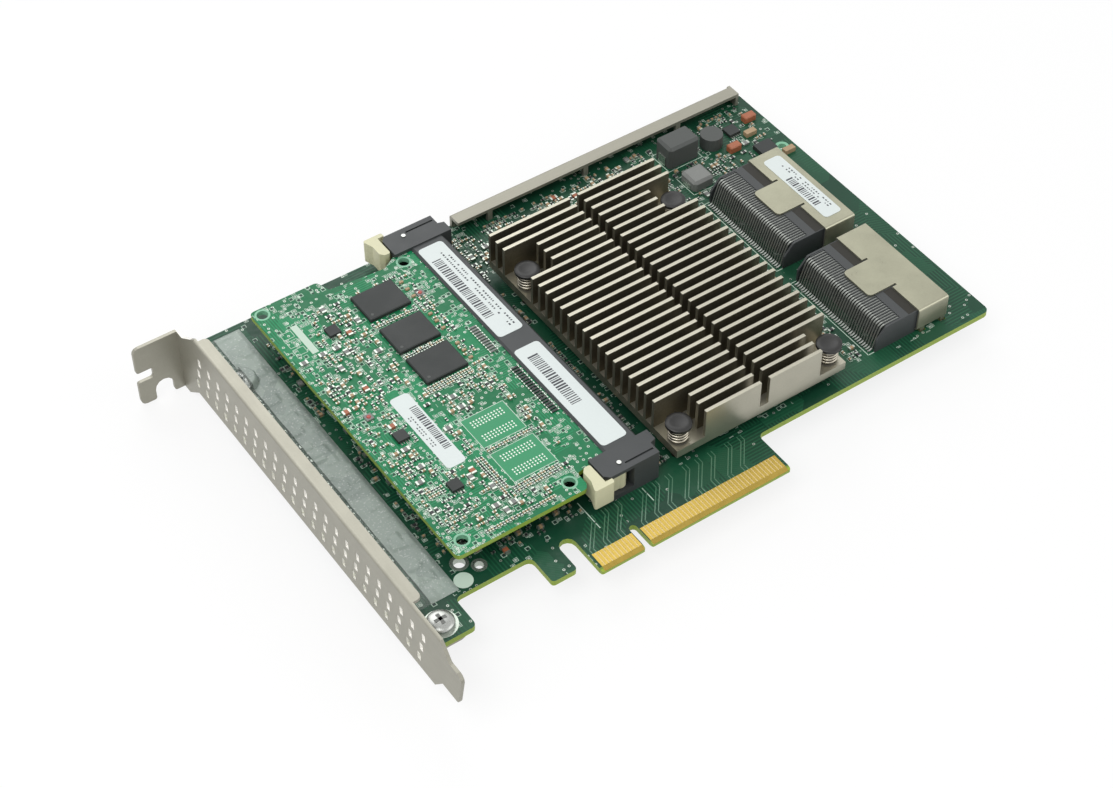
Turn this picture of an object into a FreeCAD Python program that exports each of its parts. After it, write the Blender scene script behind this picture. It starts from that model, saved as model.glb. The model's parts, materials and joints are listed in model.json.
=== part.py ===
import FreeCAD, Part
import math
import os

V = FreeCAD.Vector

# Storage controller card, millimetres.
# X runs along the card away from the bracket, Y up the card from the contact
# edge, Z out of the component side.  X = 0 is the centre of the key notch,
# Y = 0 the tip of the edge contacts, Z = 0 the component side of the board.

# ---------------------------------------------------------------- clearances
MOVE_GAP = 0.3            # between a moving piece and what it passes
LOOSE_GAP = 0.3           # between a board edge or shaft and what surrounds it
SEAT_GAP = 0.15           # on each face of the module in its socket

# ---------------------------------------------------------------- main board
BOARD_THICKNESS = 1.57
BOARD_LOWER_EDGE = 12.2
BOARD_CORNER_R = 1.5
BOARD_TOP_MARGIN = 8.15       # free strip above the power inductor
BOARD_RIGHT_MARGIN = 10.4     # free strip past the mouths of the cable ports
KEY_NOTCH_WIDTH = 1.9
KEY_NOTCH_DEPTH = 7.0
CONTACT_PITCH = 1.0
CONTACT_WIDTH = 0.7
CONTACT_LENGTH = 4.6
CONTACT_EDGE_OFFSET = 0.6
CONTACT_THICKNESS = 0.05
CONTACTS_SHORT = 11
CONTACTS_LONG = 38
KEY_TO_FIRST_CONTACT = 1.5
FINGER_SIDE_MARGIN = 1.1
FINGER_BEVEL = 0.4
FINGER_BEVEL_LENGTH = 1.2
HOOK_SLOT_WIDTH = 4.0
HOOK_WIDTH = 6.5
HOOK_TIP = 3.75
HOOK_TIP_R = 0.8
FINGER_CORNER_R = 0.5
EAR_WIDTH = 13.1
EAR_TIP = 3.4
EAR_TIP_R = 1.2
INNER_CORNER_R = 1.5
GUIDE_HOLE_D = 2.2
GUIDE_HOLES = ((-33.5, 16.8), (106.9, 87.5))
CARD_PAD_HOLE_D = 2.9
CARD_PAD_HOLE = (-36.8, 19.7)

# ------------------------------------------------------------------- bracket
BRACKET_THICKNESS = 0.86
BRACKET_TO_KEY = 57.13        # outer face to key centre
BRACKET_LOW_Z = -3.95
BRACKET_WIDTH = 18.42
BRACKET_LENGTH = 120.02
BRACKET_BEND_R = 0.5
FLANGE_TOP_Y = 108.76
FLANGE_REACH = 11.43
FLANGE_LOW_Z = -8.3
FLANGE_HIGH_Z = 9.9
FLANGE_CORNER_R = 1.5
FLANGE_INNER_R = 0.6
FLARE_START_Y = 99.0
FLARE_END_Y = 105.3
FLANGE_SLOT_WIDTH = 3.1
FLANGE_SLOT_DEPTH = 4.1
FLANGE_SLOT_Z = 0.65
SCREW_NOTCH_WIDTH = 4.8
SCREW_NOTCH_CENTRE = 5.0
SCREW_NOTCH_TOP_Z = -3.0
LIP_DEPTH = 2.3
LIP_CORNER_R = 1.2
LIP_LOW_Y = 6.5
LIP_HIGH_Y = 98.0
TAB_LOW_Z = 0.0
TAB_WIDTH = 10.2
TAB_CORNER_R = 0.8
TAB_SHOULDER_LOW_Y = -2.0
TAB_SHOULDER_HIGH_Y = -5.0
TAB_SHOULDER_DROP = 3.2
TAB_TIP_SLANT = 1.8
VENT_WIDTH = 2.6
VENT_HEIGHT = 1.3
VENT_ROW_PITCH = 4.35
VENT_COLUMN_PITCH = 4.25
VENT_COLUMN_DROP = 2.4
VENT_COLUMNS = 3
VENT_ROWS = 23
VENT_FIRST_Z = -0.4
VENT_FIRST_Y = 4.0
CARD_TAB_WIDTH = 9.0
CARD_TAB_REACH = 12.5
CARD_TAB_CORNER_R = 2.0
CARD_SCREW_FROM_FACE = 8.1
LOWER_SCREW_Y = 8.1
UPPER_SCREW_Y = 93.3
CARD_SCREW_D = 3.0
CARD_SCREW_HEAD_D = 6.3
CARD_SCREW_HEAD_HEIGHT = 1.9
CARD_SCREW_RIM = 0.9
CARD_SCREW_RIM_SLOPE = 1.2
CARD_SCREW_DRIVE_WIDTH = 0.9
CARD_SCREW_DRIVE_LENGTH = 3.0
CARD_SCREW_DRIVE_DEPTH = 1.0

# ------------------------------------------------------- module and its socket
MODULE_THICKNESS = 1.27
MODULE_TOP_Z = 7.5
MODULE_LEFT_REACH = 42.9      # from the socket bar to the far edge
MODULE_LOW_Y = 16.0
MODULE_HIGH_Y = 105.6
MODULE_STEP_X = -21.0
MODULE_STEP_Y = 101.8
MODULE_LATCH_RELIEF_Y = 100.4
MODULE_INSERTION = 5.0
MODULE_SIDE_ENTRY = 0.5       # depth of the module sides in the tower guides
MODULE_CORNER_R = 1.2
MODULE_INNER_R = 0.6
MODULE_HOLE_D = 2.9
UPPER_LEFT_HOLE = (2.4, 2.2)      # from the module's left edge and from its top edge
LOWER_LEFT_HOLE = (3.5, 3.5)      # from its left edge and from its lower edge
LOWER_BAR_HOLE = (11.1, 3.7)      # from the socket bar and from the lower edge
UPPER_BAR_HOLE = (3.6, 2.2)       # from the socket bar and below the upper tower
SOCKET_BAR_X = 3.5
SOCKET_BAR_WIDTH = 9.0
SOCKET_BAR_HEIGHT = 8.2
SOCKET_BAR_CHAMFER = 0.5
TOWER_REACH = 4.6             # tower in front of the bar
TOWER_LENGTH = 16.1
TOWER_HEIGHT = 8.6
TOWER_WIDTH = 7.0
TOWER_CORNER = 1.2
TOWER_END_STEP = 1.6
TOWER_STEP_Y = 3.2
TOWER_GROOVE_WIDTH = 0.5
TOWER_GROOVE_DEPTH = 0.4
UPPER_TOWER_Y = 102.0
LOWER_TOWER_Y = 21.9
TOWER_FLOOR = 1.5
TOWER_ROOF = 1.0
TOWER_SLOT_WIDTH = 5.4
TOWER_SLOT_LENGTH = 7.7
SOCKET_LEAD_PITCH = 3.2
SOCKET_LEAD_WIDTH = 0.8
SOCKET_LEAD_REACH = 1.3
SOCKET_LEAD_THICKNESS = 0.2
SOCKET_LEADS = 22

# ------------------------------------------------------------------- latches
PIVOT_FROM_TOWER_FACE = 5.2
PIVOT_FROM_TOWER_BACK = 2.5
PIVOT_PIN_D = 1.1
PIVOT_PIN_PROUD = 0.25
LATCH_BOSS_D = 3.4
LATCH_ARM_WIDTH = 3.0
LATCH_THROAT = 0.45           # between latch and tower face
LATCH_GRIP_LENGTH = 3.6
LATCH_GRIP_BOTTOM = 2.4
LATCH_WRAP = 1.3
LATCH_WRAP_THICKNESS = 1.2
LATCH_NOSE = 3.2
LATCH_WAIST = 1.1            # how far the grip narrows towards the lever
LATCH_WAIST_SIDE = 0.9       # from the pivot line to the ribbed slope
LATCH_CORNER_R = 0.45
LATCH_RIBS = 5
LATCH_RIB_WIDTH = 0.45
LATCH_RIB_DEPTH = 0.4

# -------------------------------------------------- chips, labels and the film
CHIP_LENGTH = 11.2
CHIP_WIDTH = 9.2
CHIP_HEIGHT = 1.1
CHIP_CHAMFER = 0.2
CHIP_FROM_BAR = 21.0
CHIP_YS = (91.15, 78.25, 66.6)
LABEL_THICKNESS = 0.1
LABEL_CORNER_R = 1.0
SOCKET_LABEL_WIDTH = 6.9
SOCKET_LABEL_INSET = 0.6
SOCKET_LABEL_LENGTH = 35.7
LABEL_END_GAP = 1.6
MODULE_LABEL_WIDTH = 5.0
MODULE_LABEL_LENGTH = 25.0
MODULE_LABEL_FROM_BAR = 30.9
MODULE_LABEL_Y = 38.0
FILM_THICKNESS = 0.25
FILM_HEIGHT = 1.7
FILM_FROM_EDGE = 4.6
FILM_WIDTH = 10.6
FILM_LOW_Y = 13.6
FILM_HIGH_Y = 109.4
FILM_DOME_CLEAR = 0.6
FILM_CORNER_R = 1.5

# ----------------------------------------------------- heat sink and controller
SINK_FROM_SOCKET = 6.0
SINK_LENGTH = 48.8
SINK_LOW_Y = 15.0
SINK_BASE_THICKNESS = 2.2
SINK_FIN_HEIGHT = 8.2
SINK_FIN_COUNT = 26
SINK_FIN_PITCH = 3.0
SINK_FIN_THICKNESS = 0.9
SINK_FIRST_FIN = 0.4
SINK_GROOVE_WIDTH = 2.5
SINK_GROOVE_OFFSET = 0.25
SINK_GROOVE_FLOOR = 0.3
SINK_FRONT_SHORT_COUNT = 3
SINK_FORWARD_FIN_COUNT = 20
SINK_BACK_SHORT_COUNT = 3
PIN_POCKET_LENGTH = 7.8
PIN_FROM_SINK_END = 2.75
PACKAGE_SIZE = 37.5
PACKAGE_LID = 31.0
PACKAGE_BASE_HEIGHT = 1.2
PACKAGE_LID_HEIGHT = 1.5
THERMAL_PAD_THICKNESS = 0.3
PUSH_PIN_SHAFT_D = 2.4
PUSH_PIN_CAP_D = 6.2
PUSH_PIN_CAP_THICKNESS = 1.2
PUSH_PIN_SPRING_LENGTH = 4.1
PUSH_PIN_BARB_D = 3.9
PUSH_PIN_TIP_LENGTH = 1.0
PUSH_PIN_TIP_D = 1.7
PUSH_PIN_CAP_EDGE = 0.3
SPRING_OUTER_D = 5.0
SPRING_WIRE = 0.6

# ------------------------------------------------------------- cable connectors
PORT_FROM_SINK = 9.9
PORT_COUNT = 2
PORT_SPACING = 3.6            # between the two shells
PORT_FIRST_Y = 16.4
SHELL_WIDTH = 31.0
SHELL_LENGTH = 9.1
SHELL_LOW_Z = 0.7
SHELL_HEIGHT = 6.7
SHELL_SHEET = 0.4
SHELL_CORNER_R = 0.6
SHELL_COLLAR = 2.0
SHELL_LEG_WIDTH = 1.2
SHELL_LEG_BELOW = 0.8
SHELL_LEG_FROM_MOUTH = 1.6
TONGUE_WIDTH = 10.0
TONGUE_LENGTH = 6.6
TONGUE_SLIT_WIDTH = 0.6
TONGUE_SLIT_DEPTH = 1.4
TONGUE_CORNER = 1.2
HOUSING_WIDTH = 29.6
HOUSING_LENGTH = 12.3
HOUSING_CHEEK = 0.5
HOUSING_BACK_SLOPE = 2.8
HOUSING_BACK_DROP = 3.4
HOUSING_EDGE_R = 0.5
PADDLE_SLOT_WIDTH = 23.0
PADDLE_SLOT_HEIGHT = 1.9
PADDLE_SLOT_DEPTH = 7.0
PORT_CONTACTS = 36
PORT_CONTACT_SIDE_GAP = 0.46   # from the cheek of the recess to the outermost contact
PORT_CONTACT_WIDTH = 0.38
PORT_CONTACT_SHEET = 0.25
PORT_CONTACT_RECESS = 0.45
PORT_CONTACT_SEEN = 4.6
PORT_CONTACT_FOOT = 1.3
PORT_CONTACT_GAP = 0.1        # from the end of the recess and from the housing back
PORT_LABEL_WIDTH = 5.2
PORT_LABEL_LENGTH = 25.0

# ------------------------------------------------------- stiffener and chokes
STIFFENER_LEFT_GAP = 47.1     # from the right-hand end of the heat sink, leftwards
STIFFENER_RIGHT_MARGIN = 2.5
STIFFENER_DEPTH = 3.95
STIFFENER_HEIGHT = 3.7
STIFFENER_SHEET = 0.9
STIFFENER_FOOT_WIDTH = 1.4
STIFFENER_FEET = 3
CHOKE_LEFT_OF_HOUSING = 1.0
CHOKE_LENGTH = 9.5
CHOKE_WIDTH = 6.4
CHOKE_HEIGHT = 6.5
CHOKE_FROM_SMALL_CHOKE = 4.3
CHOKE_CHAMFER = 0.7
SMALL_CHOKE_SIZE = 6.3
SMALL_CHOKE_HEIGHT = 3.0
SMALL_CHOKE_FROM_PORT = 4.0
ROUND_CHOKE_D = 6.0
ROUND_CHOKE_HEIGHT = 3.6
ROUND_CHOKE_FROM_CHOKE = 2.3
ROUND_CHOKE_RISE = 2.0

# ----------------------------------------------------------- small components
CAPACITOR_SIZE = (3.2, 1.6, 1.3)                # length, width, height
COLUMN_CAPACITORS = 5                           # between the heat sink and the connectors
COLUMN_CAPACITOR_X = 3.5                        # from the end of the heat sink
COLUMN_CAPACITOR_Y = 10.0                       # from the low side of the heat sink
COLUMN_CAPACITOR_PITCH = 12.5
CORNER_CAPACITORS = ((19.5, 3.8), (28.5, 3.0), (24.5, 14.0))     # from the first contacts, above the ports
TANTALUM_SIZE = (3.6, 2.2, 1.8)
TANTALUM_CHAMFER = 0.25
TANTALUM_FROM_RIGHT = 4.0
TANTALUM_RISE = 4.3                             # above the low side of the power inductor
TANTALUM_FROM_HOUSING = 17.4
TANTALUM_DROP = 3.0
CONTROL_IC_SIZE = (3.4, 3.4, 0.9)
CONTROL_IC_PLACE = (21.0, 2.8)                  # from the housing back, above the power inductor's low side
DRIVER_IC_SIZE = (5.0, 4.0, 1.3)
DRIVER_IC_PLACE = (24.0, 3.0)                   # from the housing back, above the small inductor's low side
SINK_ROW_ICS = (9.0, 25.0)                      # from the left end of the heat sink
SINK_ROW_RISE = 7.7                             # above the heat sink
MODULE_PASSIVE_SIZE = (1.0, 0.6, 0.5)
MODULE_PASSIVES_PER_CHIP = 3
MODULE_PASSIVE_PITCH = 2.8
MODULE_PASSIVE_GAP = 1.8                        # from the memory chips
MODULE_IC_SIZE = (3.0, 3.0, 0.9)
MODULE_IC_PLACES = ((8.5, 36.0), (10.5, 17.0), (13.0, 73.0))     # from the module's low left corner

# ------------------------------------------------------------------- roundness
CORNER_STEPS = 3          # chords in one rounded corner
SIDES = 12                # chords round a hole, post or cap
FINE_SIDES = 16           # the same where a round piece is large or turns
HAIR = 0.01               # keeps two tangent corners apart

# --------------------------------------------------------------- derived sizes
BOARD_BOTTOM_Z = -BOARD_THICKNESS
BRACKET_OUTER_X = -BRACKET_TO_KEY
BRACKET_INNER_X = BRACKET_OUTER_X + BRACKET_THICKNESS
BOARD_LEFT_X = BRACKET_INNER_X + LOOSE_GAP
BRACKET_HIGH_Z = BRACKET_LOW_Z + BRACKET_WIDTH
FLANGE_BOTTOM_Y = FLANGE_TOP_Y - BRACKET_THICKNESS
TAB_TIP_Y = FLANGE_TOP_Y - BRACKET_LENGTH
CARD_SCREW_X = BRACKET_OUTER_X + CARD_SCREW_FROM_FACE
SHORT_FINGER_LEFT = -(KEY_TO_FIRST_CONTACT + (CONTACTS_SHORT - 1) * CONTACT_PITCH + FINGER_SIDE_MARGIN)
LONG_FINGER_RIGHT = KEY_TO_FIRST_CONTACT + (CONTACTS_LONG - 1) * CONTACT_PITCH + FINGER_SIDE_MARGIN
HOOK_RIGHT = SHORT_FINGER_LEFT - HOOK_SLOT_WIDTH
HOOK_LEFT = HOOK_RIGHT - HOOK_WIDTH
EAR_RIGHT = BOARD_LEFT_X + EAR_WIDTH

SOCKET_BAR_END = SOCKET_BAR_X + SOCKET_BAR_WIDTH
TOWER_X = SOCKET_BAR_X - TOWER_REACH
TOWER_END = TOWER_X + TOWER_LENGTH
MODULE_BOTTOM_Z = MODULE_TOP_Z - MODULE_THICKNESS
MODULE_LEFT_X = SOCKET_BAR_X - MODULE_LEFT_REACH
PIVOT_X = TOWER_X + PIVOT_FROM_TOWER_FACE
UPPER_PIVOT_Y = UPPER_TOWER_Y + TOWER_WIDTH - PIVOT_FROM_TOWER_BACK
LOWER_PIVOT_Y = LOWER_TOWER_Y - TOWER_WIDTH + PIVOT_FROM_TOWER_BACK

SINK_X = SOCKET_BAR_END + SINK_FROM_SOCKET
SINK_END = SINK_X + SINK_LENGTH
SINK_MID_X = SINK_X + SINK_LENGTH / 2.0
SINK_WIDTH = SINK_FIRST_FIN * 2 + (SINK_FIN_COUNT - 1) * SINK_FIN_PITCH
SINK_HIGH_Y = SINK_LOW_Y + SINK_WIDTH
SINK_MID_Y = SINK_LOW_Y + SINK_WIDTH / 2.0
SINK_BASE_Z = PACKAGE_BASE_HEIGHT + PACKAGE_LID_HEIGHT + THERMAL_PAD_THICKNESS
SINK_BASE_TOP = SINK_BASE_Z + SINK_BASE_THICKNESS
SINK_FIN_TOP = SINK_BASE_TOP + SINK_FIN_HEIGHT

HOUSING_X = SINK_END + PORT_FROM_SINK + PORT_CONTACT_FOOT
SHELL_X = HOUSING_X + HOUSING_LENGTH
PORT_CONTACT_ROW = HOUSING_WIDTH - 2 * (HOUSING_CHEEK + PORT_CONTACT_SIDE_GAP) - PORT_CONTACT_WIDTH
PORT_CONTACT_PITCH = PORT_CONTACT_ROW / (PORT_CONTACTS - 1)
SHELL_END = SHELL_X + SHELL_LENGTH
SHELL_TOP_Z = SHELL_LOW_Z + SHELL_HEIGHT
HOUSING_TOP_Z = SHELL_TOP_Z - SHELL_SHEET
BOARD_RIGHT_X = SHELL_END + BOARD_RIGHT_MARGIN
PORT_PITCH = SHELL_WIDTH + PORT_SPACING
PORTS_TOP_Y = PORT_FIRST_Y + (PORT_COUNT - 1) * PORT_PITCH + SHELL_WIDTH
SMALL_CHOKE_Y = PORTS_TOP_Y + SMALL_CHOKE_FROM_PORT
CHOKE_Y = SMALL_CHOKE_Y + SMALL_CHOKE_SIZE + CHOKE_FROM_SMALL_CHOKE
CHOKE_TOP_Y = CHOKE_Y + CHOKE_WIDTH
BOARD_HEIGHT = CHOKE_TOP_Y + BOARD_TOP_MARGIN


# ------------------------------------------------------------------- operations
def block(x0, x1, y0, y1, z0, z1):
    return Part.makeBox(x1 - x0, y1 - y0, z1 - z0, V(x0, y0, z0))


def ring(x, y, z, radius, sides):
    turn = 2.0 * math.pi / sides
    return [V(x + radius * math.cos(turn * i), y + radius * math.sin(turn * i), z) for i in range(sides)]


def flat_face(corners):
    return Part.Face(Part.makePolygon(corners + corners[:1]))


def post(x, y, z0, z1, radius, sides=SIDES):
    return flat_face(ring(x, y, z0, radius, sides)).extrude(V(0, 0, z1 - z0))


def taper(x, y, z0, r0, z1, r1, sides=SIDES):
    low = ring(x, y, z0, r0, sides)
    high = ring(x, y, z1, r1, sides)
    faces = [flat_face(low), flat_face(high)]
    for i in range(sides):
        faces.append(flat_face([low[i - 1], low[i], high[i], high[i - 1]]))
    return Part.makeSolid(Part.makeShell(faces))


def face_of(corners, place):
    """Closed face through corners (u, v) or (u, v, radius), put in space by place."""
    points = []
    count = len(corners)
    for i in range(count):
        here = corners[i]
        radius = here[2] if len(here) > 2 else 0.0
        if radius == 0.0:
            points.append(place(*here[:2]))
            continue
        before = corners[i - 1]
        after = corners[(i + 1) % count]
        a = V(before[0] - here[0], before[1] - here[1], 0).normalize()
        b = V(after[0] - here[0], after[1] - here[1], 0).normalize()
        half = a.getAngle(b) / 2.0
        centre = V(here[0], here[1], 0) + (a + b).normalize() * (radius / math.sin(half))
        spoke = V(here[0], here[1], 0) + a * (radius / math.tan(half)) - centre
        side = 1.0 if a.cross(b).z < 0 else -1.0
        for step in range(CORNER_STEPS + 1):
            turned = side * (math.pi - 2.0 * half) * step / CORNER_STEPS
            u = centre.x + spoke.x * math.cos(turned) - spoke.y * math.sin(turned)
            v = centre.y + spoke.x * math.sin(turned) + spoke.y * math.cos(turned)
            points.append(place(u, v))
    return flat_face(points)


def plate(corners, z0, z1):
    return face_of(corners, lambda x, y: V(x, y, z0)).extrude(V(0, 0, z1 - z0))


def profile_xz(corners, y0, y1):
    return face_of(corners, lambda x, z: V(x, y0, z)).extrude(V(0, y1 - y0, 0))


def profile_yz(corners, x0, x1):
    return face_of(corners, lambda y, z: V(x0, y, z)).extrude(V(x1 - x0, 0, 0))


def rounded_label(x0, x1, y0, y1, z0):
    r = LABEL_CORNER_R
    return plate([(x0, y0, r), (x1, y0, r), (x1, y1, r), (x0, y1, r)], z0, z0 + LABEL_THICKNESS)


def join(shapes):
    first = shapes[0]
    if len(shapes) == 1:
        return first
    return first.fuse(shapes[1:]).removeSplitter()


def save(name, shape):
    shape.exportStep("parts/" + name + ".step")


def mirrored_y(shape, y):
    return shape.mirror(V(0, y, 0), V(0, 1, 0))


# ------------------------------------------------------------------- main board
def push_pin_places():
    near = SINK_LOW_Y + SINK_FIRST_FIN + (SINK_FRONT_SHORT_COUNT - 1) / 2.0 * SINK_FIN_PITCH
    far = SINK_LOW_Y + SINK_FIRST_FIN
    far += (SINK_FORWARD_FIN_COUNT + (SINK_BACK_SHORT_COUNT - 1) / 2.0) * SINK_FIN_PITCH
    return [(x, y) for x in (SINK_X + PIN_FROM_SINK_END, SINK_END - PIN_FROM_SINK_END) for y in (near, far)]


def card_screw_places():
    return [(CARD_SCREW_X, LOWER_SCREW_Y), (CARD_SCREW_X, UPPER_SCREW_Y)]


def port_y(index):
    return PORT_FIRST_Y + index * PORT_PITCH


def shell_leg_places(index):
    y = port_y(index)
    xs = (SHELL_X + SHELL_LEG_WIDTH, SHELL_END - SHELL_LEG_FROM_MOUTH)
    return [(x, side) for x in xs for side in (y, y + SHELL_WIDTH - SHELL_SHEET)]


def main_board():
    key = KEY_NOTCH_WIDTH / 2.0
    slot_r = HOOK_SLOT_WIDTH / 2.0 - HAIR
    low = BOARD_LOWER_EDGE
    outline = [
        (BOARD_LEFT_X, EAR_TIP, EAR_TIP_R),
        (EAR_RIGHT, EAR_TIP, EAR_TIP_R),
        (EAR_RIGHT, low, INNER_CORNER_R),
        (HOOK_LEFT, low, INNER_CORNER_R),
        (HOOK_LEFT, HOOK_TIP, HOOK_TIP_R),
        (HOOK_RIGHT, HOOK_TIP, HOOK_TIP_R),
        (HOOK_RIGHT, low, slot_r),
        (SHORT_FINGER_LEFT, low, slot_r),
        (SHORT_FINGER_LEFT, 0.0, FINGER_CORNER_R),
        (-key, 0.0, FINGER_CORNER_R),
        (-key, KEY_NOTCH_DEPTH, key - HAIR),
        (key, KEY_NOTCH_DEPTH, key - HAIR),
        (key, 0.0, FINGER_CORNER_R),
        (LONG_FINGER_RIGHT, 0.0, FINGER_CORNER_R),
        (LONG_FINGER_RIGHT, low, INNER_CORNER_R),
        (BOARD_RIGHT_X, low, BOARD_CORNER_R),
        (BOARD_RIGHT_X, BOARD_HEIGHT, BOARD_CORNER_R),
        (BOARD_LEFT_X, BOARD_HEIGHT, BOARD_CORNER_R),
    ]
    board = plate(outline, BOARD_BOTTOM_Z, 0.0)
    cuts = []
    for side, z in ((1, 0.0), (-1, BOARD_BOTTOM_Z)):
        cuts.append(profile_yz(
            [(-1.0, z + side), (-1.0, z - side * FINGER_BEVEL), (0.0, z - side * FINGER_BEVEL),
             (FINGER_BEVEL_LENGTH, z), (FINGER_BEVEL_LENGTH, z + side)],
            SHORT_FINGER_LEFT - 1.0, LONG_FINGER_RIGHT + 1.0))
    for x, y in card_screw_places():
        cuts.append(post(x, y, BOARD_BOTTOM_Z, 0.0, CARD_SCREW_D / 2.0 + LOOSE_GAP))
    for x, y in push_pin_places():
        cuts.append(post(x, y, BOARD_BOTTOM_Z, 0.0, PUSH_PIN_SHAFT_D / 2.0 + LOOSE_GAP))
    for x, y in GUIDE_HOLES:
        cuts.append(post(x, y, BOARD_BOTTOM_Z, 0.0, GUIDE_HOLE_D / 2.0))
    cuts.append(post(CARD_PAD_HOLE[0], CARD_PAD_HOLE[1], BOARD_BOTTOM_Z, 0.0, CARD_PAD_HOLE_D / 2.0))
    for index in range(PORT_COUNT):
        for x, y in shell_leg_places(index):
            cuts.append(block(x - LOOSE_GAP, x + SHELL_LEG_WIDTH + LOOSE_GAP, y - LOOSE_GAP,
                              y + SHELL_SHEET + LOOSE_GAP, BOARD_BOTTOM_Z, 0.0))
    return board.cut(cuts)


def edge_contacts():
    pads = []
    xs = [-KEY_TO_FIRST_CONTACT - i * CONTACT_PITCH for i in range(CONTACTS_SHORT)]
    xs += [KEY_TO_FIRST_CONTACT + i * CONTACT_PITCH for i in range(CONTACTS_LONG)]
    low = FINGER_BEVEL_LENGTH
    high = CONTACT_EDGE_OFFSET + CONTACT_LENGTH
    for x in xs:
        for z in (0.0, BOARD_BOTTOM_Z - CONTACT_THICKNESS):
            pads.append(block(x - CONTACT_WIDTH / 2.0, x + CONTACT_WIDTH / 2.0, low, high,
                              z, z + CONTACT_THICKNESS))
    return Part.makeCompound(pads)


# ---------------------------------------------------------------------- bracket
def outer_bend(r):
    """What a bend takes off the corner x = 0, y = 0 of a sheet that lies to the right and below."""
    corner = block(-r, r, -r, r, 0.0, BRACKET_LENGTH)
    return corner.cut(post(r, -r, 0.0, BRACKET_LENGTH, r))


def bracket():
    t = BRACKET_THICKNESS
    x0 = BRACKET_OUTER_X
    x1 = BRACKET_INNER_X
    face = profile_yz([
        (FLANGE_TOP_Y, FLANGE_LOW_Z),
        (FLARE_END_Y, FLANGE_LOW_Z),
        (FLARE_START_Y + 1.0, BRACKET_LOW_Z),
        (TAB_SHOULDER_LOW_Y, BRACKET_LOW_Z),
        (TAB_SHOULDER_LOW_Y - TAB_SHOULDER_DROP, TAB_LOW_Z),
        (TAB_TIP_Y, TAB_LOW_Z, TAB_CORNER_R),
        (TAB_TIP_Y - TAB_TIP_SLANT, TAB_LOW_Z + TAB_WIDTH, 2 * TAB_CORNER_R),
        (TAB_SHOULDER_HIGH_Y - TAB_SHOULDER_DROP, TAB_LOW_Z + TAB_WIDTH, TAB_CORNER_R),
        (TAB_SHOULDER_HIGH_Y, BRACKET_HIGH_Z),
        (FLARE_START_Y, BRACKET_HIGH_Z),
        (FLARE_END_Y, FLANGE_HIGH_Z),
        (FLANGE_TOP_Y, FLANGE_HIGH_Z),
    ], x0, x1)
    slot_low = FLANGE_SLOT_Z - FLANGE_SLOT_WIDTH / 2.0
    slot_high = FLANGE_SLOT_Z + FLANGE_SLOT_WIDTH / 2.0
    flange_x = x0 - FLANGE_REACH
    notch_left = x0 - SCREW_NOTCH_CENTRE - SCREW_NOTCH_WIDTH / 2.0
    notch_right = x0 - SCREW_NOTCH_CENTRE + SCREW_NOTCH_WIDTH / 2.0
    notch_r = SCREW_NOTCH_WIDTH / 2.0 - HAIR
    flange = profile_xz([
        (x1, FLANGE_LOW_Z),
        (notch_right, FLANGE_LOW_Z, FLANGE_INNER_R),
        (notch_right, SCREW_NOTCH_TOP_Z, notch_r),
        (notch_left, SCREW_NOTCH_TOP_Z, notch_r),
        (notch_left, FLANGE_LOW_Z, FLANGE_INNER_R),
        (flange_x, FLANGE_LOW_Z, FLANGE_CORNER_R),
        (flange_x, slot_low, FLANGE_INNER_R),
        (flange_x + FLANGE_SLOT_DEPTH, slot_low, FLANGE_INNER_R),
        (flange_x + FLANGE_SLOT_DEPTH, slot_high, FLANGE_INNER_R),
        (flange_x, slot_high, FLANGE_INNER_R),
        (flange_x, FLANGE_HIGH_Z, FLANGE_CORNER_R),
        (x1, FLANGE_HIGH_Z),
    ], FLANGE_BOTTOM_Y, FLANGE_TOP_Y)
    lip = plate([
        (x0, LIP_LOW_Y),
        (x1 + LIP_DEPTH, LIP_LOW_Y, LIP_CORNER_R),
        (x1 + LIP_DEPTH, LIP_HIGH_Y, LIP_CORNER_R),
        (x0, LIP_HIGH_Y),
    ], BRACKET_HIGH_Z - t, BRACKET_HIGH_Z)
    tab_top = BOARD_BOTTOM_Z
    card_tabs = []
    for x, y in card_screw_places():
        half = CARD_TAB_WIDTH / 2.0
        card_tabs.append(plate([
            (x0, y - half),
            (x0 + CARD_TAB_REACH, y - half, CARD_TAB_CORNER_R),
            (x0 + CARD_TAB_REACH, y + half, CARD_TAB_CORNER_R),
            (x0, y + half),
        ], tab_top - t, tab_top).cut(post(x, y, tab_top - t, tab_top, CARD_SCREW_D / 2.0)))
    body = join([face, flange, lip] + card_tabs)
    r = BRACKET_BEND_R
    flange_bend = outer_bend(r).mirror(V(0, 0, 0), V(1, 0, 0))
    flange_bend.translate(V(x1, FLANGE_TOP_Y, FLANGE_LOW_Z))
    lip_bend = outer_bend(r)
    lip_bend.rotate(V(0, 0, 0), V(1, 0, 0), 90)
    lip_bend.translate(V(x0, FLARE_START_Y, BRACKET_HIGH_Z))
    body = body.cut([flange_bend, lip_bend])
    vents = []
    for column in range(VENT_COLUMNS):
        z = VENT_FIRST_Z + column * VENT_COLUMN_PITCH
        for row in range(VENT_ROWS):
            y = VENT_FIRST_Y - column * VENT_COLUMN_DROP / 2.0 + row * VENT_ROW_PITCH
            vents.append(block(x0 - 1.0, x1 + 1.0, y - VENT_HEIGHT / 2.0, y + VENT_HEIGHT / 2.0,
                               z - VENT_WIDTH / 2.0, z + VENT_WIDTH / 2.0))
    return body.cut(vents)


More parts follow.
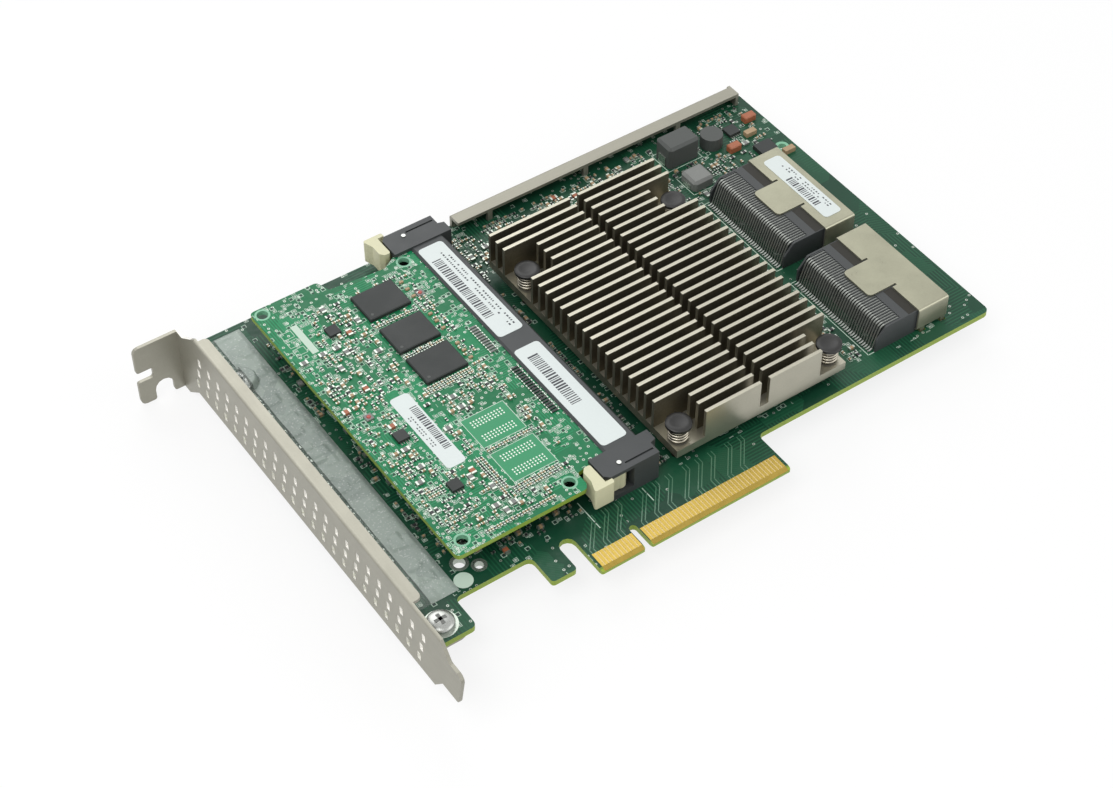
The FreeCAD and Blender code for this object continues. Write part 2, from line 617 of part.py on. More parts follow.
def bracket_screw(x, y):
    head_r = CARD_SCREW_HEAD_D / 2.0
    rim = CARD_SCREW_RIM
    top = CARD_SCREW_HEAD_HEIGHT
    end = BOARD_BOTTOM_Z - BRACKET_THICKNESS
    screw = join([
        post(x, y, 0.0, top - rim, head_r, FINE_SIDES),
        taper(x, y, top - rim, head_r, top, head_r - CARD_SCREW_RIM_SLOPE, FINE_SIDES),
        post(x, y, end, 0.0, CARD_SCREW_D / 2.0),
    ])
    w = CARD_SCREW_DRIVE_WIDTH / 2.0
    arm = CARD_SCREW_DRIVE_LENGTH / 2.0
    floor = top - CARD_SCREW_DRIVE_DEPTH
    cross = block(x - w, x + w, y - arm, y + arm, floor, top + 1.0)
    cross = cross.fuse(block(x - arm, x + arm, y - w, y + w, floor, top + 1.0))
    return screw.cut(cross)


# ---------------------------------------------------------------- expansion module
def module_neck_y():
    return (LOWER_TOWER_Y - MODULE_SIDE_ENTRY, UPPER_TOWER_Y + MODULE_SIDE_ENTRY)


def module_board():
    neck_low, neck_high = module_neck_y()
    tip = SOCKET_BAR_X + MODULE_INSERTION
    grip = TOWER_X - LATCH_THROAT - LATCH_GRIP_LENGTH
    relief = grip + LATCH_WAIST - 2 * MOVE_GAP
    nose = LOWER_PIVOT_Y + LATCH_NOSE
    outline = [
        (MODULE_LEFT_X, MODULE_LOW_Y, MODULE_CORNER_R),
        (grip - MOVE_GAP, MODULE_LOW_Y, MODULE_CORNER_R),
        (relief, LOWER_PIVOT_Y, MODULE_INNER_R),
        (relief, nose + MOVE_GAP, MODULE_INNER_R),
        (TOWER_X - MOVE_GAP, neck_low),
        (TOWER_X, neck_low),
        (tip, neck_low, MODULE_INNER_R),
        (tip, neck_high, MODULE_INNER_R),
        (TOWER_X - LATCH_THROAT, neck_high),
        (grip, MODULE_LATCH_RELIEF_Y, MODULE_INNER_R),
        (MODULE_STEP_X + MODULE_CORNER_R, MODULE_STEP_Y, MODULE_INNER_R),
        (MODULE_STEP_X, MODULE_HIGH_Y, MODULE_CORNER_R),
        (MODULE_LEFT_X, MODULE_HIGH_Y, MODULE_CORNER_R),
    ]
    board = plate(outline, MODULE_BOTTOM_Z, MODULE_TOP_Z)
    r = MODULE_HOLE_D / 2.0
    for x, y in module_holes():
        board = board.cut(post(x, y, MODULE_BOTTOM_Z, MODULE_TOP_Z, r))
    return board


def module_holes():
    return [
        (MODULE_LEFT_X + UPPER_LEFT_HOLE[0], MODULE_HIGH_Y - UPPER_LEFT_HOLE[1]),
        (MODULE_LEFT_X + LOWER_LEFT_HOLE[0], MODULE_LOW_Y + LOWER_LEFT_HOLE[1]),
        (SOCKET_BAR_X - LOWER_BAR_HOLE[0], MODULE_LOW_Y + LOWER_BAR_HOLE[1]),
        (SOCKET_BAR_X - UPPER_BAR_HOLE[0], UPPER_TOWER_Y - UPPER_BAR_HOLE[1]),
    ]


def memory_chip(y):
    x = SOCKET_BAR_X - CHIP_FROM_BAR
    chip = block(x, x + CHIP_LENGTH, y - CHIP_WIDTH / 2.0, y + CHIP_WIDTH / 2.0,
                 MODULE_TOP_Z, MODULE_TOP_Z + CHIP_HEIGHT)
    rim = [e for e in chip.Edges if abs(e.BoundBox.ZMin - MODULE_TOP_Z - CHIP_HEIGHT) < 1e-6]
    return chip.makeChamfer(CHIP_CHAMFER, rim)


# ------------------------------------------------------------------ module socket
def tower():
    """Upper tower: module guide, latch slot and pin hole; the lower one mirrors it."""
    y0 = UPPER_TOWER_Y
    y1 = UPPER_TOWER_Y + TOWER_WIDTH
    body = plate([
        (TOWER_X, y0),
        (TOWER_END, y0),
        (TOWER_END, y0 + TOWER_STEP_Y),
        (TOWER_END - TOWER_END_STEP, y0 + TOWER_STEP_Y + TOWER_GROOVE_WIDTH),
        (TOWER_END - TOWER_END_STEP, y1),
        (TOWER_X + TOWER_CORNER, y1),
        (TOWER_X, y1 - TOWER_CORNER),
    ], 0.0, TOWER_HEIGHT)
    slot_low = TOWER_FLOOR
    slot_high = TOWER_HEIGHT - TOWER_ROOF
    slot = block(TOWER_X - 1.0, TOWER_X + TOWER_SLOT_LENGTH, y1 - TOWER_SLOT_WIDTH, y1 + 1.0,
                 slot_low, slot_high)
    guide = block(TOWER_X - 1.0, SOCKET_BAR_X + MODULE_INSERTION + LOOSE_GAP, y0 - 1.0,
                  y0 + MODULE_SIDE_ENTRY + LOOSE_GAP, MODULE_BOTTOM_Z - SEAT_GAP, MODULE_TOP_Z + SEAT_GAP)
    hole = post(PIVOT_X, UPPER_PIVOT_Y, 0.0, TOWER_HEIGHT, PIVOT_PIN_D / 2.0)
    groove_y = UPPER_PIVOT_Y + PIVOT_PIN_D / 2.0
    groove = block(PIVOT_X + PIVOT_PIN_D, TOWER_END - TOWER_END_STEP - TOWER_GROOVE_WIDTH, groove_y,
                   groove_y + TOWER_GROOVE_WIDTH, TOWER_HEIGHT - TOWER_GROOVE_DEPTH, TOWER_HEIGHT)
    return body.cut([slot, guide, hole, groove])


def mid_y():
    return (UPPER_TOWER_Y + LOWER_TOWER_Y) / 2.0


def module_socket():
    bar = profile_xz([
        (SOCKET_BAR_X, 0.0),
        (SOCKET_BAR_END, 0.0),
        (SOCKET_BAR_END, SOCKET_BAR_HEIGHT - SOCKET_BAR_CHAMFER),
        (SOCKET_BAR_END - SOCKET_BAR_CHAMFER, SOCKET_BAR_HEIGHT),
        (SOCKET_BAR_X + SOCKET_BAR_CHAMFER, SOCKET_BAR_HEIGHT),
        (SOCKET_BAR_X, SOCKET_BAR_HEIGHT - SOCKET_BAR_CHAMFER),
    ], LOWER_TOWER_Y, UPPER_TOWER_Y)
    entry = MODULE_SIDE_ENTRY + LOOSE_GAP
    mouth = block(SOCKET_BAR_X - 1.0, SOCKET_BAR_X + MODULE_INSERTION + LOOSE_GAP, LOWER_TOWER_Y - entry,
                  UPPER_TOWER_Y + entry, MODULE_BOTTOM_Z - SEAT_GAP, MODULE_TOP_Z + SEAT_GAP)
    upper = tower()
    lower = mirrored_y(upper, mid_y())
    return join([bar, upper, lower]).cut(mouth)


def socket_leads():
    leads = []
    t = SOCKET_LEAD_THICKNESS
    span = (SOCKET_LEADS - 1) * SOCKET_LEAD_PITCH
    first = mid_y() - span / 2.0
    for i in range(SOCKET_LEADS):
        y = first + i * SOCKET_LEAD_PITCH
        leads.append(block(SOCKET_BAR_END, SOCKET_BAR_END + SOCKET_LEAD_REACH, y - SOCKET_LEAD_WIDTH / 2.0,
                           y + SOCKET_LEAD_WIDTH / 2.0, 0.0, t))
    return Part.makeCompound(leads)


def latch():
    """Upper latch about its pivot; the lower one mirrors it."""
    x = PIVOT_X
    y = UPPER_PIVOT_Y
    face = TOWER_X - LATCH_THROAT
    grip = face - LATCH_GRIP_LENGTH
    back = UPPER_TOWER_Y + TOWER_WIDTH
    outer = back + MOVE_GAP + LATCH_WRAP_THICKNESS
    low = TOWER_FLOOR + MOVE_GAP
    high = TOWER_HEIGHT - TOWER_ROOF - MOVE_GAP
    bore = PIVOT_PIN_D / 2.0 + MOVE_GAP
    arm = LATCH_ARM_WIDTH / 2.0
    boss = post(x, y, low, high, LATCH_BOSS_D / 2.0, FINE_SIDES)
    lever = block(face - 0.5, x, y - arm, y + arm, low, high)
    r = LATCH_CORNER_R
    head = plate([
        (grip, outer, r),
        (TOWER_X + LATCH_WRAP, outer, r),
        (TOWER_X + LATCH_WRAP, back + MOVE_GAP),
        (face, back + MOVE_GAP),
        (face, y - LATCH_NOSE, r),
        (face - LATCH_THROAT - LATCH_WAIST, y - LATCH_NOSE, r),
        (grip + LATCH_WAIST, y - LATCH_NOSE + LATCH_WAIST, r),
        (grip + LATCH_WAIST, y + LATCH_WAIST_SIDE, r),
    ], LATCH_GRIP_BOTTOM, TOWER_HEIGHT)
    body = join([boss, lever, head]).cut(post(x, y, low, high, bore))
    start = V(grip + LATCH_WAIST, y + LATCH_WAIST_SIDE, 0)
    stop = V(grip, outer, 0)
    along = stop - start
    length = along.Length
    along.normalize()
    normal = V(along.y, -along.x, 0)
    angle = math.degrees(math.atan2(along.y, along.x))
    pitch = (length - 2 * r) / LATCH_RIBS
    for i in range(LATCH_RIBS):
        groove = Part.makeBox(pitch - LATCH_RIB_WIDTH, 2 * LATCH_RIB_DEPTH, TOWER_HEIGHT - LATCH_GRIP_BOTTOM,
                              V(0, -LATCH_RIB_DEPTH, 0))
        groove.rotate(V(0, 0, 0), V(0, 0, 1), angle)
        groove.translate(start + along * (r + i * pitch) + V(0, 0, LATCH_GRIP_BOTTOM - LATCH_RIB_WIDTH))
        body = body.cut(groove)
    return body


def latch_pin(y):
    return post(PIVOT_X, y, 0.0, TOWER_HEIGHT + PIVOT_PIN_PROUD, PIVOT_PIN_D / 2.0)


# ----------------------------------------------------------------- insulating film
def insulating_film():
    x0 = BOARD_LEFT_X + FILM_FROM_EDGE
    x1 = x0 + FILM_WIDTH
    y0 = FILM_LOW_Y
    y1 = FILM_HIGH_Y
    t = FILM_THICKNESS
    r = FILM_CORNER_R
    ri = r - t
    outline = [(x0, y0, r), (x1, y0, r), (x1, y1, r), (x0, y1, r)]
    inside = [(x0 + t, y0 + t, ri), (x1 - t, y0 + t, ri), (x1 - t, y1 - t, ri), (x0 + t, y1 - t, ri)]
    x, y = card_screw_places()[1]
    dome_r = CARD_SCREW_HEAD_D / 2.0 + FILM_DOME_CLEAR
    dome_top = CARD_SCREW_HEAD_HEIGHT + LOOSE_GAP
    shell = plate(outline, 0.0, FILM_HEIGHT).fuse(post(x, y, 0.0, dome_top + t, dome_r + t, FINE_SIDES))
    room = plate(inside, 0.0, FILM_HEIGHT - t).fuse(post(x, y, 0.0, dome_top, dome_r, FINE_SIDES))
    return shell.cut(room)


# ----------------------------------------------------------------------- heat sink
def heatsink():
    points = [(SINK_LOW_Y, SINK_BASE_Z), (SINK_HIGH_Y, SINK_BASE_Z)]
    half = SINK_FIN_THICKNESS / 2.0
    top = SINK_FIN_TOP
    floor = SINK_BASE_TOP
    centres = [SINK_LOW_Y + SINK_FIRST_FIN + i * SINK_FIN_PITCH for i in range(SINK_FIN_COUNT)]
    for y in reversed(centres):
        high = min(y + half, SINK_HIGH_Y)
        low = max(y - half, SINK_LOW_Y)
        if high < SINK_HIGH_Y:
            points.append((high, floor))
        points.append((high, top))
        points.append((low, top))
        if low > SINK_LOW_Y:
            points.append((low, floor))
    body = profile_yz(points, SINK_X, SINK_END)
    groove = SINK_MID_X + SINK_GROOVE_OFFSET
    cuts = [block(groove - SINK_GROOVE_WIDTH / 2.0, groove + SINK_GROOVE_WIDTH / 2.0, SINK_LOW_Y - 1.0,
                  SINK_HIGH_Y + 1.0, floor + SINK_GROOVE_FLOOR, top + 1.0)]
    front = centres[SINK_FRONT_SHORT_COUNT - 1] + SINK_FIN_PITCH / 2.0
    back_low = centres[SINK_FORWARD_FIN_COUNT] - SINK_FIN_PITCH / 2.0
    back_high = centres[SINK_FORWARD_FIN_COUNT + SINK_BACK_SHORT_COUNT - 1] + SINK_FIN_PITCH / 2.0
    left_pocket = (SINK_X - 1.0, SINK_X + PIN_POCKET_LENGTH)
    right_pocket = (SINK_END - PIN_POCKET_LENGTH, SINK_END + 1.0)
    for x0, x1 in (left_pocket, right_pocket):
        cuts.append(block(x0, x1, SINK_LOW_Y - 1.0, front, floor, top + 1.0))
        cuts.append(block(x0, x1, back_low, back_high, floor, top + 1.0))
    for x, y in push_pin_places():
        cuts.append(post(x, y, SINK_BASE_Z, floor, PUSH_PIN_SHAFT_D / 2.0 + LOOSE_GAP))
    return body.cut(cuts)


def controller_package():
    half = PACKAGE_SIZE / 2.0
    lid = PACKAGE_LID / 2.0
    base = block(SINK_MID_X - half, SINK_MID_X + half, SINK_MID_Y - half, SINK_MID_Y + half,
                 0.0, PACKAGE_BASE_HEIGHT)
    cover = block(SINK_MID_X - lid, SINK_MID_X + lid, SINK_MID_Y - lid, SINK_MID_Y + lid,
                  PACKAGE_BASE_HEIGHT, PACKAGE_BASE_HEIGHT + PACKAGE_LID_HEIGHT)
    return base.fuse(cover)


def thermal_pad():
    lid = PACKAGE_LID / 2.0
    low = PACKAGE_BASE_HEIGHT + PACKAGE_LID_HEIGHT
    return block(SINK_MID_X - lid, SINK_MID_X + lid, SINK_MID_Y - lid, SINK_MID_Y + lid, low, SINK_BASE_Z)


def push_pin(x, y):
    r = PUSH_PIN_SHAFT_D / 2.0
    cap_r = PUSH_PIN_CAP_D / 2.0
    barb_r = PUSH_PIN_BARB_D / 2.0
    cap_low = SINK_BASE_TOP + PUSH_PIN_SPRING_LENGTH
    cap_top = cap_low + PUSH_PIN_CAP_THICKNESS
    tip = BOARD_BOTTOM_Z - PUSH_PIN_TIP_LENGTH
    edge = PUSH_PIN_CAP_EDGE
    return join([
        taper(x, y, tip, PUSH_PIN_TIP_D / 2.0, BOARD_BOTTOM_Z, barb_r),
        post(x, y, BOARD_BOTTOM_Z, cap_low, r),
        post(x, y, cap_low, cap_top - edge, cap_r, FINE_SIDES),
        taper(x, y, cap_top - edge, cap_r, cap_top, cap_r - edge, FINE_SIDES),
    ])


def push_pin_spring(x, y):
    low = SINK_BASE_TOP
    high = SINK_BASE_TOP + PUSH_PIN_SPRING_LENGTH
    outer = SPRING_OUTER_D / 2.0
    return post(x, y, low, high, outer).cut(post(x, y, low, high, outer - SPRING_WIRE))


# ---------------------------------------------------------------- cable connectors
def housing(index):
    y = port_y(index)
    mid = y + SHELL_WIDTH / 2.0
    y0 = mid - HOUSING_WIDTH / 2.0
    y1 = mid + HOUSING_WIDTH / 2.0
    top = HOUSING_TOP_Z
    shoulder = HOUSING_X + HOUSING_BACK_SLOPE
    body = profile_xz([
        (shoulder, 0.0),
        (SHELL_X, 0.0),
        (SHELL_X, top),
        (shoulder, top, HOUSING_EDGE_R),
    ], y0, y1)
    cheek_face = [
        (HOUSING_X, 0.0),
        (SHELL_X, 0.0),
        (SHELL_X, top),
        (shoulder, top, 2 * HOUSING_EDGE_R),
        (HOUSING_X, top - HOUSING_BACK_DROP, 2 * HOUSING_EDGE_R),
    ]
    cheeks = [profile_xz(cheek_face, y0, y0 + HOUSING_CHEEK), profile_xz(cheek_face, y1 - HOUSING_CHEEK, y1)]
    t = SHELL_SHEET
    collar = block(SHELL_X, SHELL_X + SHELL_COLLAR, y + t, y + SHELL_WIDTH - t,
                   SHELL_LOW_Z + t, SHELL_TOP_Z - t)
    half = PADDLE_SLOT_WIDTH / 2.0
    middle_z = (SHELL_LOW_Z + SHELL_TOP_Z) / 2.0
    slot_x = SHELL_X + SHELL_COLLAR
    paddle = block(slot_x - PADDLE_SLOT_DEPTH, slot_x + 1.0, mid - half, mid + half,
                   middle_z - PADDLE_SLOT_HEIGHT / 2.0, middle_z + PADDLE_SLOT_HEIGHT / 2.0)
    recess = block(shoulder - 1.0, shoulder + PORT_CONTACT_SEEN, y0 + HOUSING_CHEEK, y1 - HOUSING_CHEEK,
                   top - PORT_CONTACT_RECESS, top + 1.0)
    return join([body, collar] + cheeks).cut([paddle, recess])


def port_contacts(index):
    mid = port_y(index) + SHELL_WIDTH / 2.0
    first = mid - PORT_CONTACT_ROW / 2.0
    floor = HOUSING_TOP_Z - PORT_CONTACT_RECESS
    t = PORT_CONTACT_SHEET
    shoulder = HOUSING_X + HOUSING_BACK_SLOPE
    toe = HOUSING_X - PORT_CONTACT_FOOT
    tip = shoulder + PORT_CONTACT_SEEN - PORT_CONTACT_GAP
    band = [
        (tip, floor),
        (tip, floor + t),
        (shoulder - 2 * t, floor + t),
        (toe, 0.0),
        (HOUSING_X, 0.0),
        (shoulder - PORT_CONTACT_GAP, floor),
    ]
    contacts = []
    for i in range(PORT_CONTACTS):
        y = first + i * PORT_CONTACT_PITCH
        contacts.append(profile_xz(band, y - PORT_CONTACT_WIDTH / 2.0, y + PORT_CONTACT_WIDTH / 2.0))
    return Part.makeCompound(contacts)


def shell(index):
    y0 = port_y(index)
    y1 = y0 + SHELL_WIDTH
    mid = (y0 + y1) / 2.0
    t = SHELL_SHEET
    tube = profile_yz([
        (y0, SHELL_LOW_Z, SHELL_CORNER_R),
        (y1, SHELL_LOW_Z, SHELL_CORNER_R),
        (y1, SHELL_TOP_Z, SHELL_CORNER_R),
        (y0, SHELL_TOP_Z, SHELL_CORNER_R),
    ], SHELL_X, SHELL_END)
    bore = block(SHELL_X - 1.0, SHELL_END + 1.0, y0 + t, y1 - t, SHELL_LOW_Z + t, SHELL_TOP_Z - t)
    half = TONGUE_WIDTH / 2.0
    tongue = plate([
        (SHELL_X - TONGUE_LENGTH, mid - half, TONGUE_CORNER),
        (SHELL_X + 1.0, mid - half),
        (SHELL_X + 1.0, mid + half),
        (SHELL_X - TONGUE_LENGTH, mid + half, TONGUE_CORNER),
    ], SHELL_TOP_Z - t, SHELL_TOP_Z)
    slits = []
    for side in (-1, 1):
        y = mid + side * (half + TONGUE_SLIT_WIDTH / 2.0)
        slits.append(block(SHELL_X - 1.0, SHELL_X + TONGUE_SLIT_DEPTH, y - TONGUE_SLIT_WIDTH / 2.0,
                           y + TONGUE_SLIT_WIDTH / 2.0, SHELL_TOP_Z - t, SHELL_TOP_Z + 1.0))
    legs = []
    for x, y in shell_leg_places(index):
        legs.append(block(x, x + SHELL_LEG_WIDTH, y, y + t, BOARD_BOTTOM_Z - SHELL_LEG_BELOW,
                          SHELL_LOW_Z + t + SHELL_CORNER_R))
    return join([tube.cut(bore), tongue] + legs).cut(slits)


def port_label():
    last = PORT_COUNT - 1
    mid = port_y(last) + SHELL_WIDTH / 2.0
    x = SHELL_END - LABEL_END_GAP
    half = PORT_LABEL_LENGTH / 2.0
    return rounded_label(x - PORT_LABEL_WIDTH, x, mid - half, mid + half, SHELL_TOP_Z)


# --------------------------------------------------------------- stiffener, chokes
def stiffener():
    x0 = SINK_END - STIFFENER_LEFT_GAP
    x1 = BOARD_RIGHT_X - STIFFENER_RIGHT_MARGIN
    y1 = BOARD_HEIGHT
    y0 = y1 - STIFFENER_DEPTH
    t = STIFFENER_SHEET
    top = STIFFENER_HEIGHT
    rail = profile_yz([
        (y0, top - t),
        (y1 - t, top - t),
        (y1 - t, 0.0),
        (y1, 0.0),
        (y1, top, t * 0.8),
        (y0, top),
    ], x0, x1)
    feet = [block(x1 - t, x1, y0, y1, 0.0, top)]
    w = STIFFENER_FOOT_WIDTH
    step = (x1 - x0) / STIFFENER_FEET
    for i in range(STIFFENER_FEET):
        x = x0 + step * (i + 0.3)
        feet.append(block(x, x + w, y0, y0 + t, 0.0, top))
    return join([rail] + feet)


def moulded_block(x0, x1, y0, y1, height, chamfer):
    body = block(x0, x1, y0, y1, 0.0, height)
    edges = [e for e in body.Edges if e.BoundBox.ZMin > height - 1e-6 or e.BoundBox.ZLength > height - 1e-6]
    return body.makeChamfer(chamfer, edges)


def power_inductor():
    x = HOUSING_X - CHOKE_LEFT_OF_HOUSING
    return moulded_block(x, x + CHOKE_LENGTH, CHOKE_Y, CHOKE_TOP_Y, CHOKE_HEIGHT, CHOKE_CHAMFER)


def small_inductor():
    x = HOUSING_X - CHOKE_LEFT_OF_HOUSING
    y = SMALL_CHOKE_Y
    return moulded_block(x, x + SMALL_CHOKE_SIZE, y, y + SMALL_CHOKE_SIZE, SMALL_CHOKE_HEIGHT, CHOKE_CHAMFER)


def round_inductor():
    r = ROUND_CHOKE_D / 2.0
    x = HOUSING_X - CHOKE_LEFT_OF_HOUSING + CHOKE_LENGTH + ROUND_CHOKE_FROM_CHOKE + r
    return post(x, CHOKE_Y + ROUND_CHOKE_RISE, 0.0, ROUND_CHOKE_HEIGHT, r, FINE_SIDES)


def chip_part(x, y, size, base=0.0):
    length, width, height = size
    return block(x - length / 2.0, x + length / 2.0, y - width / 2.0, y + width / 2.0, base, base + height)


def board_capacitors():
    """Ceramic capacitors between heat sink and connectors and above the connectors."""
    upright = (CAPACITOR_SIZE[1], CAPACITOR_SIZE[0], CAPACITOR_SIZE[2])
    parts = []
    for i in range(COLUMN_CAPACITORS):
        y = SINK_LOW_Y + COLUMN_CAPACITOR_Y + i * COLUMN_CAPACITOR_PITCH
        parts.append(chip_part(SINK_END + COLUMN_CAPACITOR_X, y, upright))
    for from_housing, above_ports in CORNER_CAPACITORS:
        parts.append(chip_part(HOUSING_X + from_housing, PORTS_TOP_Y + above_ports, CAPACITOR_SIZE))
    return Part.makeCompound(parts)


def tantalum_capacitors():
    """Moulded capacitors near the top right corner."""
    length, width, height = TANTALUM_SIZE
    half_x = length / 2.0
    half_y = width / 2.0
    places = (
        (BOARD_RIGHT_X - TANTALUM_FROM_RIGHT, CHOKE_Y + TANTALUM_RISE),
        (HOUSING_X + TANTALUM_FROM_HOUSING, CHOKE_Y - TANTALUM_DROP),
    )
    return Part.makeCompound([
        moulded_block(x - half_x, x + half_x, y - half_y, y + half_y, height, TANTALUM_CHAMFER)
        for x, y in places])


def board_ics():
    """Small chips round the power inductor and along the top of the heat sink."""
    parts = [
        chip_part(HOUSING_X + CONTROL_IC_PLACE[0], CHOKE_Y + CONTROL_IC_PLACE[1], CONTROL_IC_SIZE),
        chip_part(HOUSING_X + DRIVER_IC_PLACE[0], SMALL_CHOKE_Y + DRIVER_IC_PLACE[1], DRIVER_IC_SIZE),
    ]
    for from_sink in SINK_ROW_ICS:
        parts.append(chip_part(SINK_X + from_sink, SINK_HIGH_Y + SINK_ROW_RISE, DRIVER_IC_SIZE))
    return Part.makeCompound(parts)


def module_passives():
    """Chip capacitors beside the memory chips."""
    x = SOCKET_BAR_X - CHIP_FROM_BAR + CHIP_LENGTH + MODULE_PASSIVE_GAP
    first = -(MODULE_PASSIVES_PER_CHIP - 1) / 2.0 * MODULE_PASSIVE_PITCH
    return Part.makeCompound([
        chip_part(x, y + first + i * MODULE_PASSIVE_PITCH, MODULE_PASSIVE_SIZE, MODULE_TOP_Z)
        for y in CHIP_YS for i in range(MODULE_PASSIVES_PER_CHIP)])


def module_ics():
    return Part.makeCompound([
        chip_part(MODULE_LEFT_X + x, MODULE_LOW_Y + y, MODULE_IC_SIZE, MODULE_TOP_Z)
        for x, y in MODULE_IC_PLACES])


# --------------------------------------------------------------------------- build
def socket_label(upper):
    x0 = SOCKET_BAR_X + SOCKET_LABEL_INSET
    x1 = x0 + SOCKET_LABEL_WIDTH
    if upper:
        y1 = UPPER_TOWER_Y - LABEL_END_GAP
        return rounded_label(x0, x1, y1 - SOCKET_LABEL_LENGTH, y1, SOCKET_BAR_HEIGHT)
    y0 = LOWER_TOWER_Y + LABEL_END_GAP
    return rounded_label(x0, x1, y0, y0 + SOCKET_LABEL_LENGTH, SOCKET_BAR_HEIGHT)


def module_label():
    x = SOCKET_BAR_X - MODULE_LABEL_FROM_BAR
    return rounded_label(x, x + MODULE_LABEL_WIDTH, MODULE_LABEL_Y, MODULE_LABEL_Y + MODULE_LABEL_LENGTH,
                         MODULE_TOP_Z)


def build():
    os.makedirs("parts", exist_ok=True)
    save("main_board", main_board())
    save("edge_contacts", edge_contacts())
    save("bracket", bracket())
    for name, place in zip(("bracket_screw_lower", "bracket_screw_upper"), card_screw_places()):
        save(name, bracket_screw(*place))
    save("insulating_film", insulating_film())
    save("module_board", module_board())
    for number, y in enumerate(CHIP_YS, 1):
        save("memory_chip_%d" % number, memory_chip(y))
    save("module_passives", module_passives())
    save("module_ics", module_ics())
    save("module_label", module_label())
    save("module_socket", module_socket())
    save("socket_leads", socket_leads())
    save("socket_label_upper", socket_label(True))
    save("socket_label_lower", socket_label(False))
    upper = latch()
    save("upper_latch", upper)
    save("lower_latch", mirrored_y(upper, mid_y()))
    save("upper_latch_pin", latch_pin(UPPER_PIVOT_Y))
    save("lower_latch_pin", latch_pin(LOWER_PIVOT_Y))
    save("controller_package", controller_package())
    save("thermal_pad", thermal_pad())
    save("heatsink", heatsink())
    for number, place in enumerate(push_pin_places(), 1):
        save("push_pin_%d" % number, push_pin(*place))
        save("push_pin_spring_%d" % number, push_pin_spring(*place))
    for index in range(PORT_COUNT):
        save("sas_housing_%d" % (index + 1), housing(index))
        save("sas_contacts_%d" % (index + 1), port_contacts(index))
        save("sas_shell_%d" % (index + 1), shell(index))
    save("port_label", port_label())
    save("stiffener", stiffener())
    save("power_inductor", power_inductor())
    save("small_inductor", small_inductor())
    save("round_inductor", round_inductor())
    save("board_capacitors", board_capacitors())
    save("tantalum_capacitors", tantalum_capacitors())
    save("board_ics", board_ics())


build()
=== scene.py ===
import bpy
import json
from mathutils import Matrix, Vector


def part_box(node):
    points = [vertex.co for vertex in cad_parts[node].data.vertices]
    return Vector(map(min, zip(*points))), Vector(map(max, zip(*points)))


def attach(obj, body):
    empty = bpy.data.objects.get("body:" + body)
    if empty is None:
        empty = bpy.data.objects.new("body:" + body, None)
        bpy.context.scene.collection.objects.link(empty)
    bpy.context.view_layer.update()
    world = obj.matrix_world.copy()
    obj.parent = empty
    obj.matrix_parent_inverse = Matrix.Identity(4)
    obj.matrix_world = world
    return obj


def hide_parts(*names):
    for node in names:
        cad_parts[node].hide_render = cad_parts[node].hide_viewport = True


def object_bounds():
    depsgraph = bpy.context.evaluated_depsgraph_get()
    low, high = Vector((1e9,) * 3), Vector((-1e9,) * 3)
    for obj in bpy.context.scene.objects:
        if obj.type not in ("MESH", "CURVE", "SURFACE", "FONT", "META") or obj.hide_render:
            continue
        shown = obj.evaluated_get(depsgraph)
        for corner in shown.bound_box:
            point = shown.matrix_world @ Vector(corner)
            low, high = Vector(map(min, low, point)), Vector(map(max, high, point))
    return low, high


bl_info = {
    "name": "Storage Controller Card",
    "version": (1, 0, 0),
    "blender": (4, 5, 0),
    "location": "3D View > Sidebar > Card",
    "description": "Finishes, soldered and printed detail, and a stage for a controller card",
    "category": "Object",
}

import json
import math
import random

import bmesh
import bpy
from bpy.props import FloatProperty, FloatVectorProperty, IntProperty, PointerProperty
from bpy.types import Operator, Panel, PropertyGroup
from mathutils import Matrix, Vector

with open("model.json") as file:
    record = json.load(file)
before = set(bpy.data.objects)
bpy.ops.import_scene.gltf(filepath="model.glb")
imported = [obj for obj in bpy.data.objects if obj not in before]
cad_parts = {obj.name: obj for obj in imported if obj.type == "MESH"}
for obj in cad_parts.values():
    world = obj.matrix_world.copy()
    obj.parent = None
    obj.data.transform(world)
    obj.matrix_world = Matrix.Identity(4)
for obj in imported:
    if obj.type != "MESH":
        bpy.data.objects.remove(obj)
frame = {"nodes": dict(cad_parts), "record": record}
CAD_LOW, CAD_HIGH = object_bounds()

MM = 0.001
PRINT_LIFT = 0.02 * MM          # thickness of silkscreen, pads and traces
BEVEL_DEPTH = 0.38 * MM         # drop of the gold along the bevel at the board's edge
SOCKET_BAR = 4.6 * MM           # from the socket's left end to its bar
RELIEF = 0.02 * MM              # depth of the grain and lines in a finish
WHITE = (1.0, 1.0, 1.0)
VERTICAL = (0.0, 0.0, 1.0)
PORTS = (1, 2)
PINS = (1, 2, 3, 4)
SCREWS = ("bracket_screw_lower", "bracket_screw_upper")
CHOKES = ("power_inductor", "small_inductor")
MEMORY_CHIPS = ("memory_chip_1", "memory_chip_2", "memory_chip_3")
# Plated holes of the main board: x, y and bore in mm, and the ring's material index
BOARD_HOLES = ((-33.5, 16.8, 2.2, 0), (106.9, 87.5, 2.2, 1), (-36.8, 19.7, 2.9, 0))


def tone(red, green, blue):
    """Linear colour of an sRGB colour given in 0 to 255."""
    parts = (value / 255.0 for value in (red, green, blue))
    return tuple(c / 12.92 if c <= 0.04045 else ((c + 0.055) / 1.055) ** 2.4 for c in parts)


def paint(colour):
    """Linear colour of a setting, by its name, or of a fixed sRGB colour."""
    if isinstance(colour, str):
        return getattr(bpy.context.scene.card_colours, colour)[:]
    return tone(*colour)


def sizes():
    return bpy.context.scene.card_sizes


# ---- Settings
def colour(name, description, *shade):
    return FloatVectorProperty(name=name, description=description, default=tone(*shade),
                               subtype="COLOR", size=3, min=0.0, max=1.0)


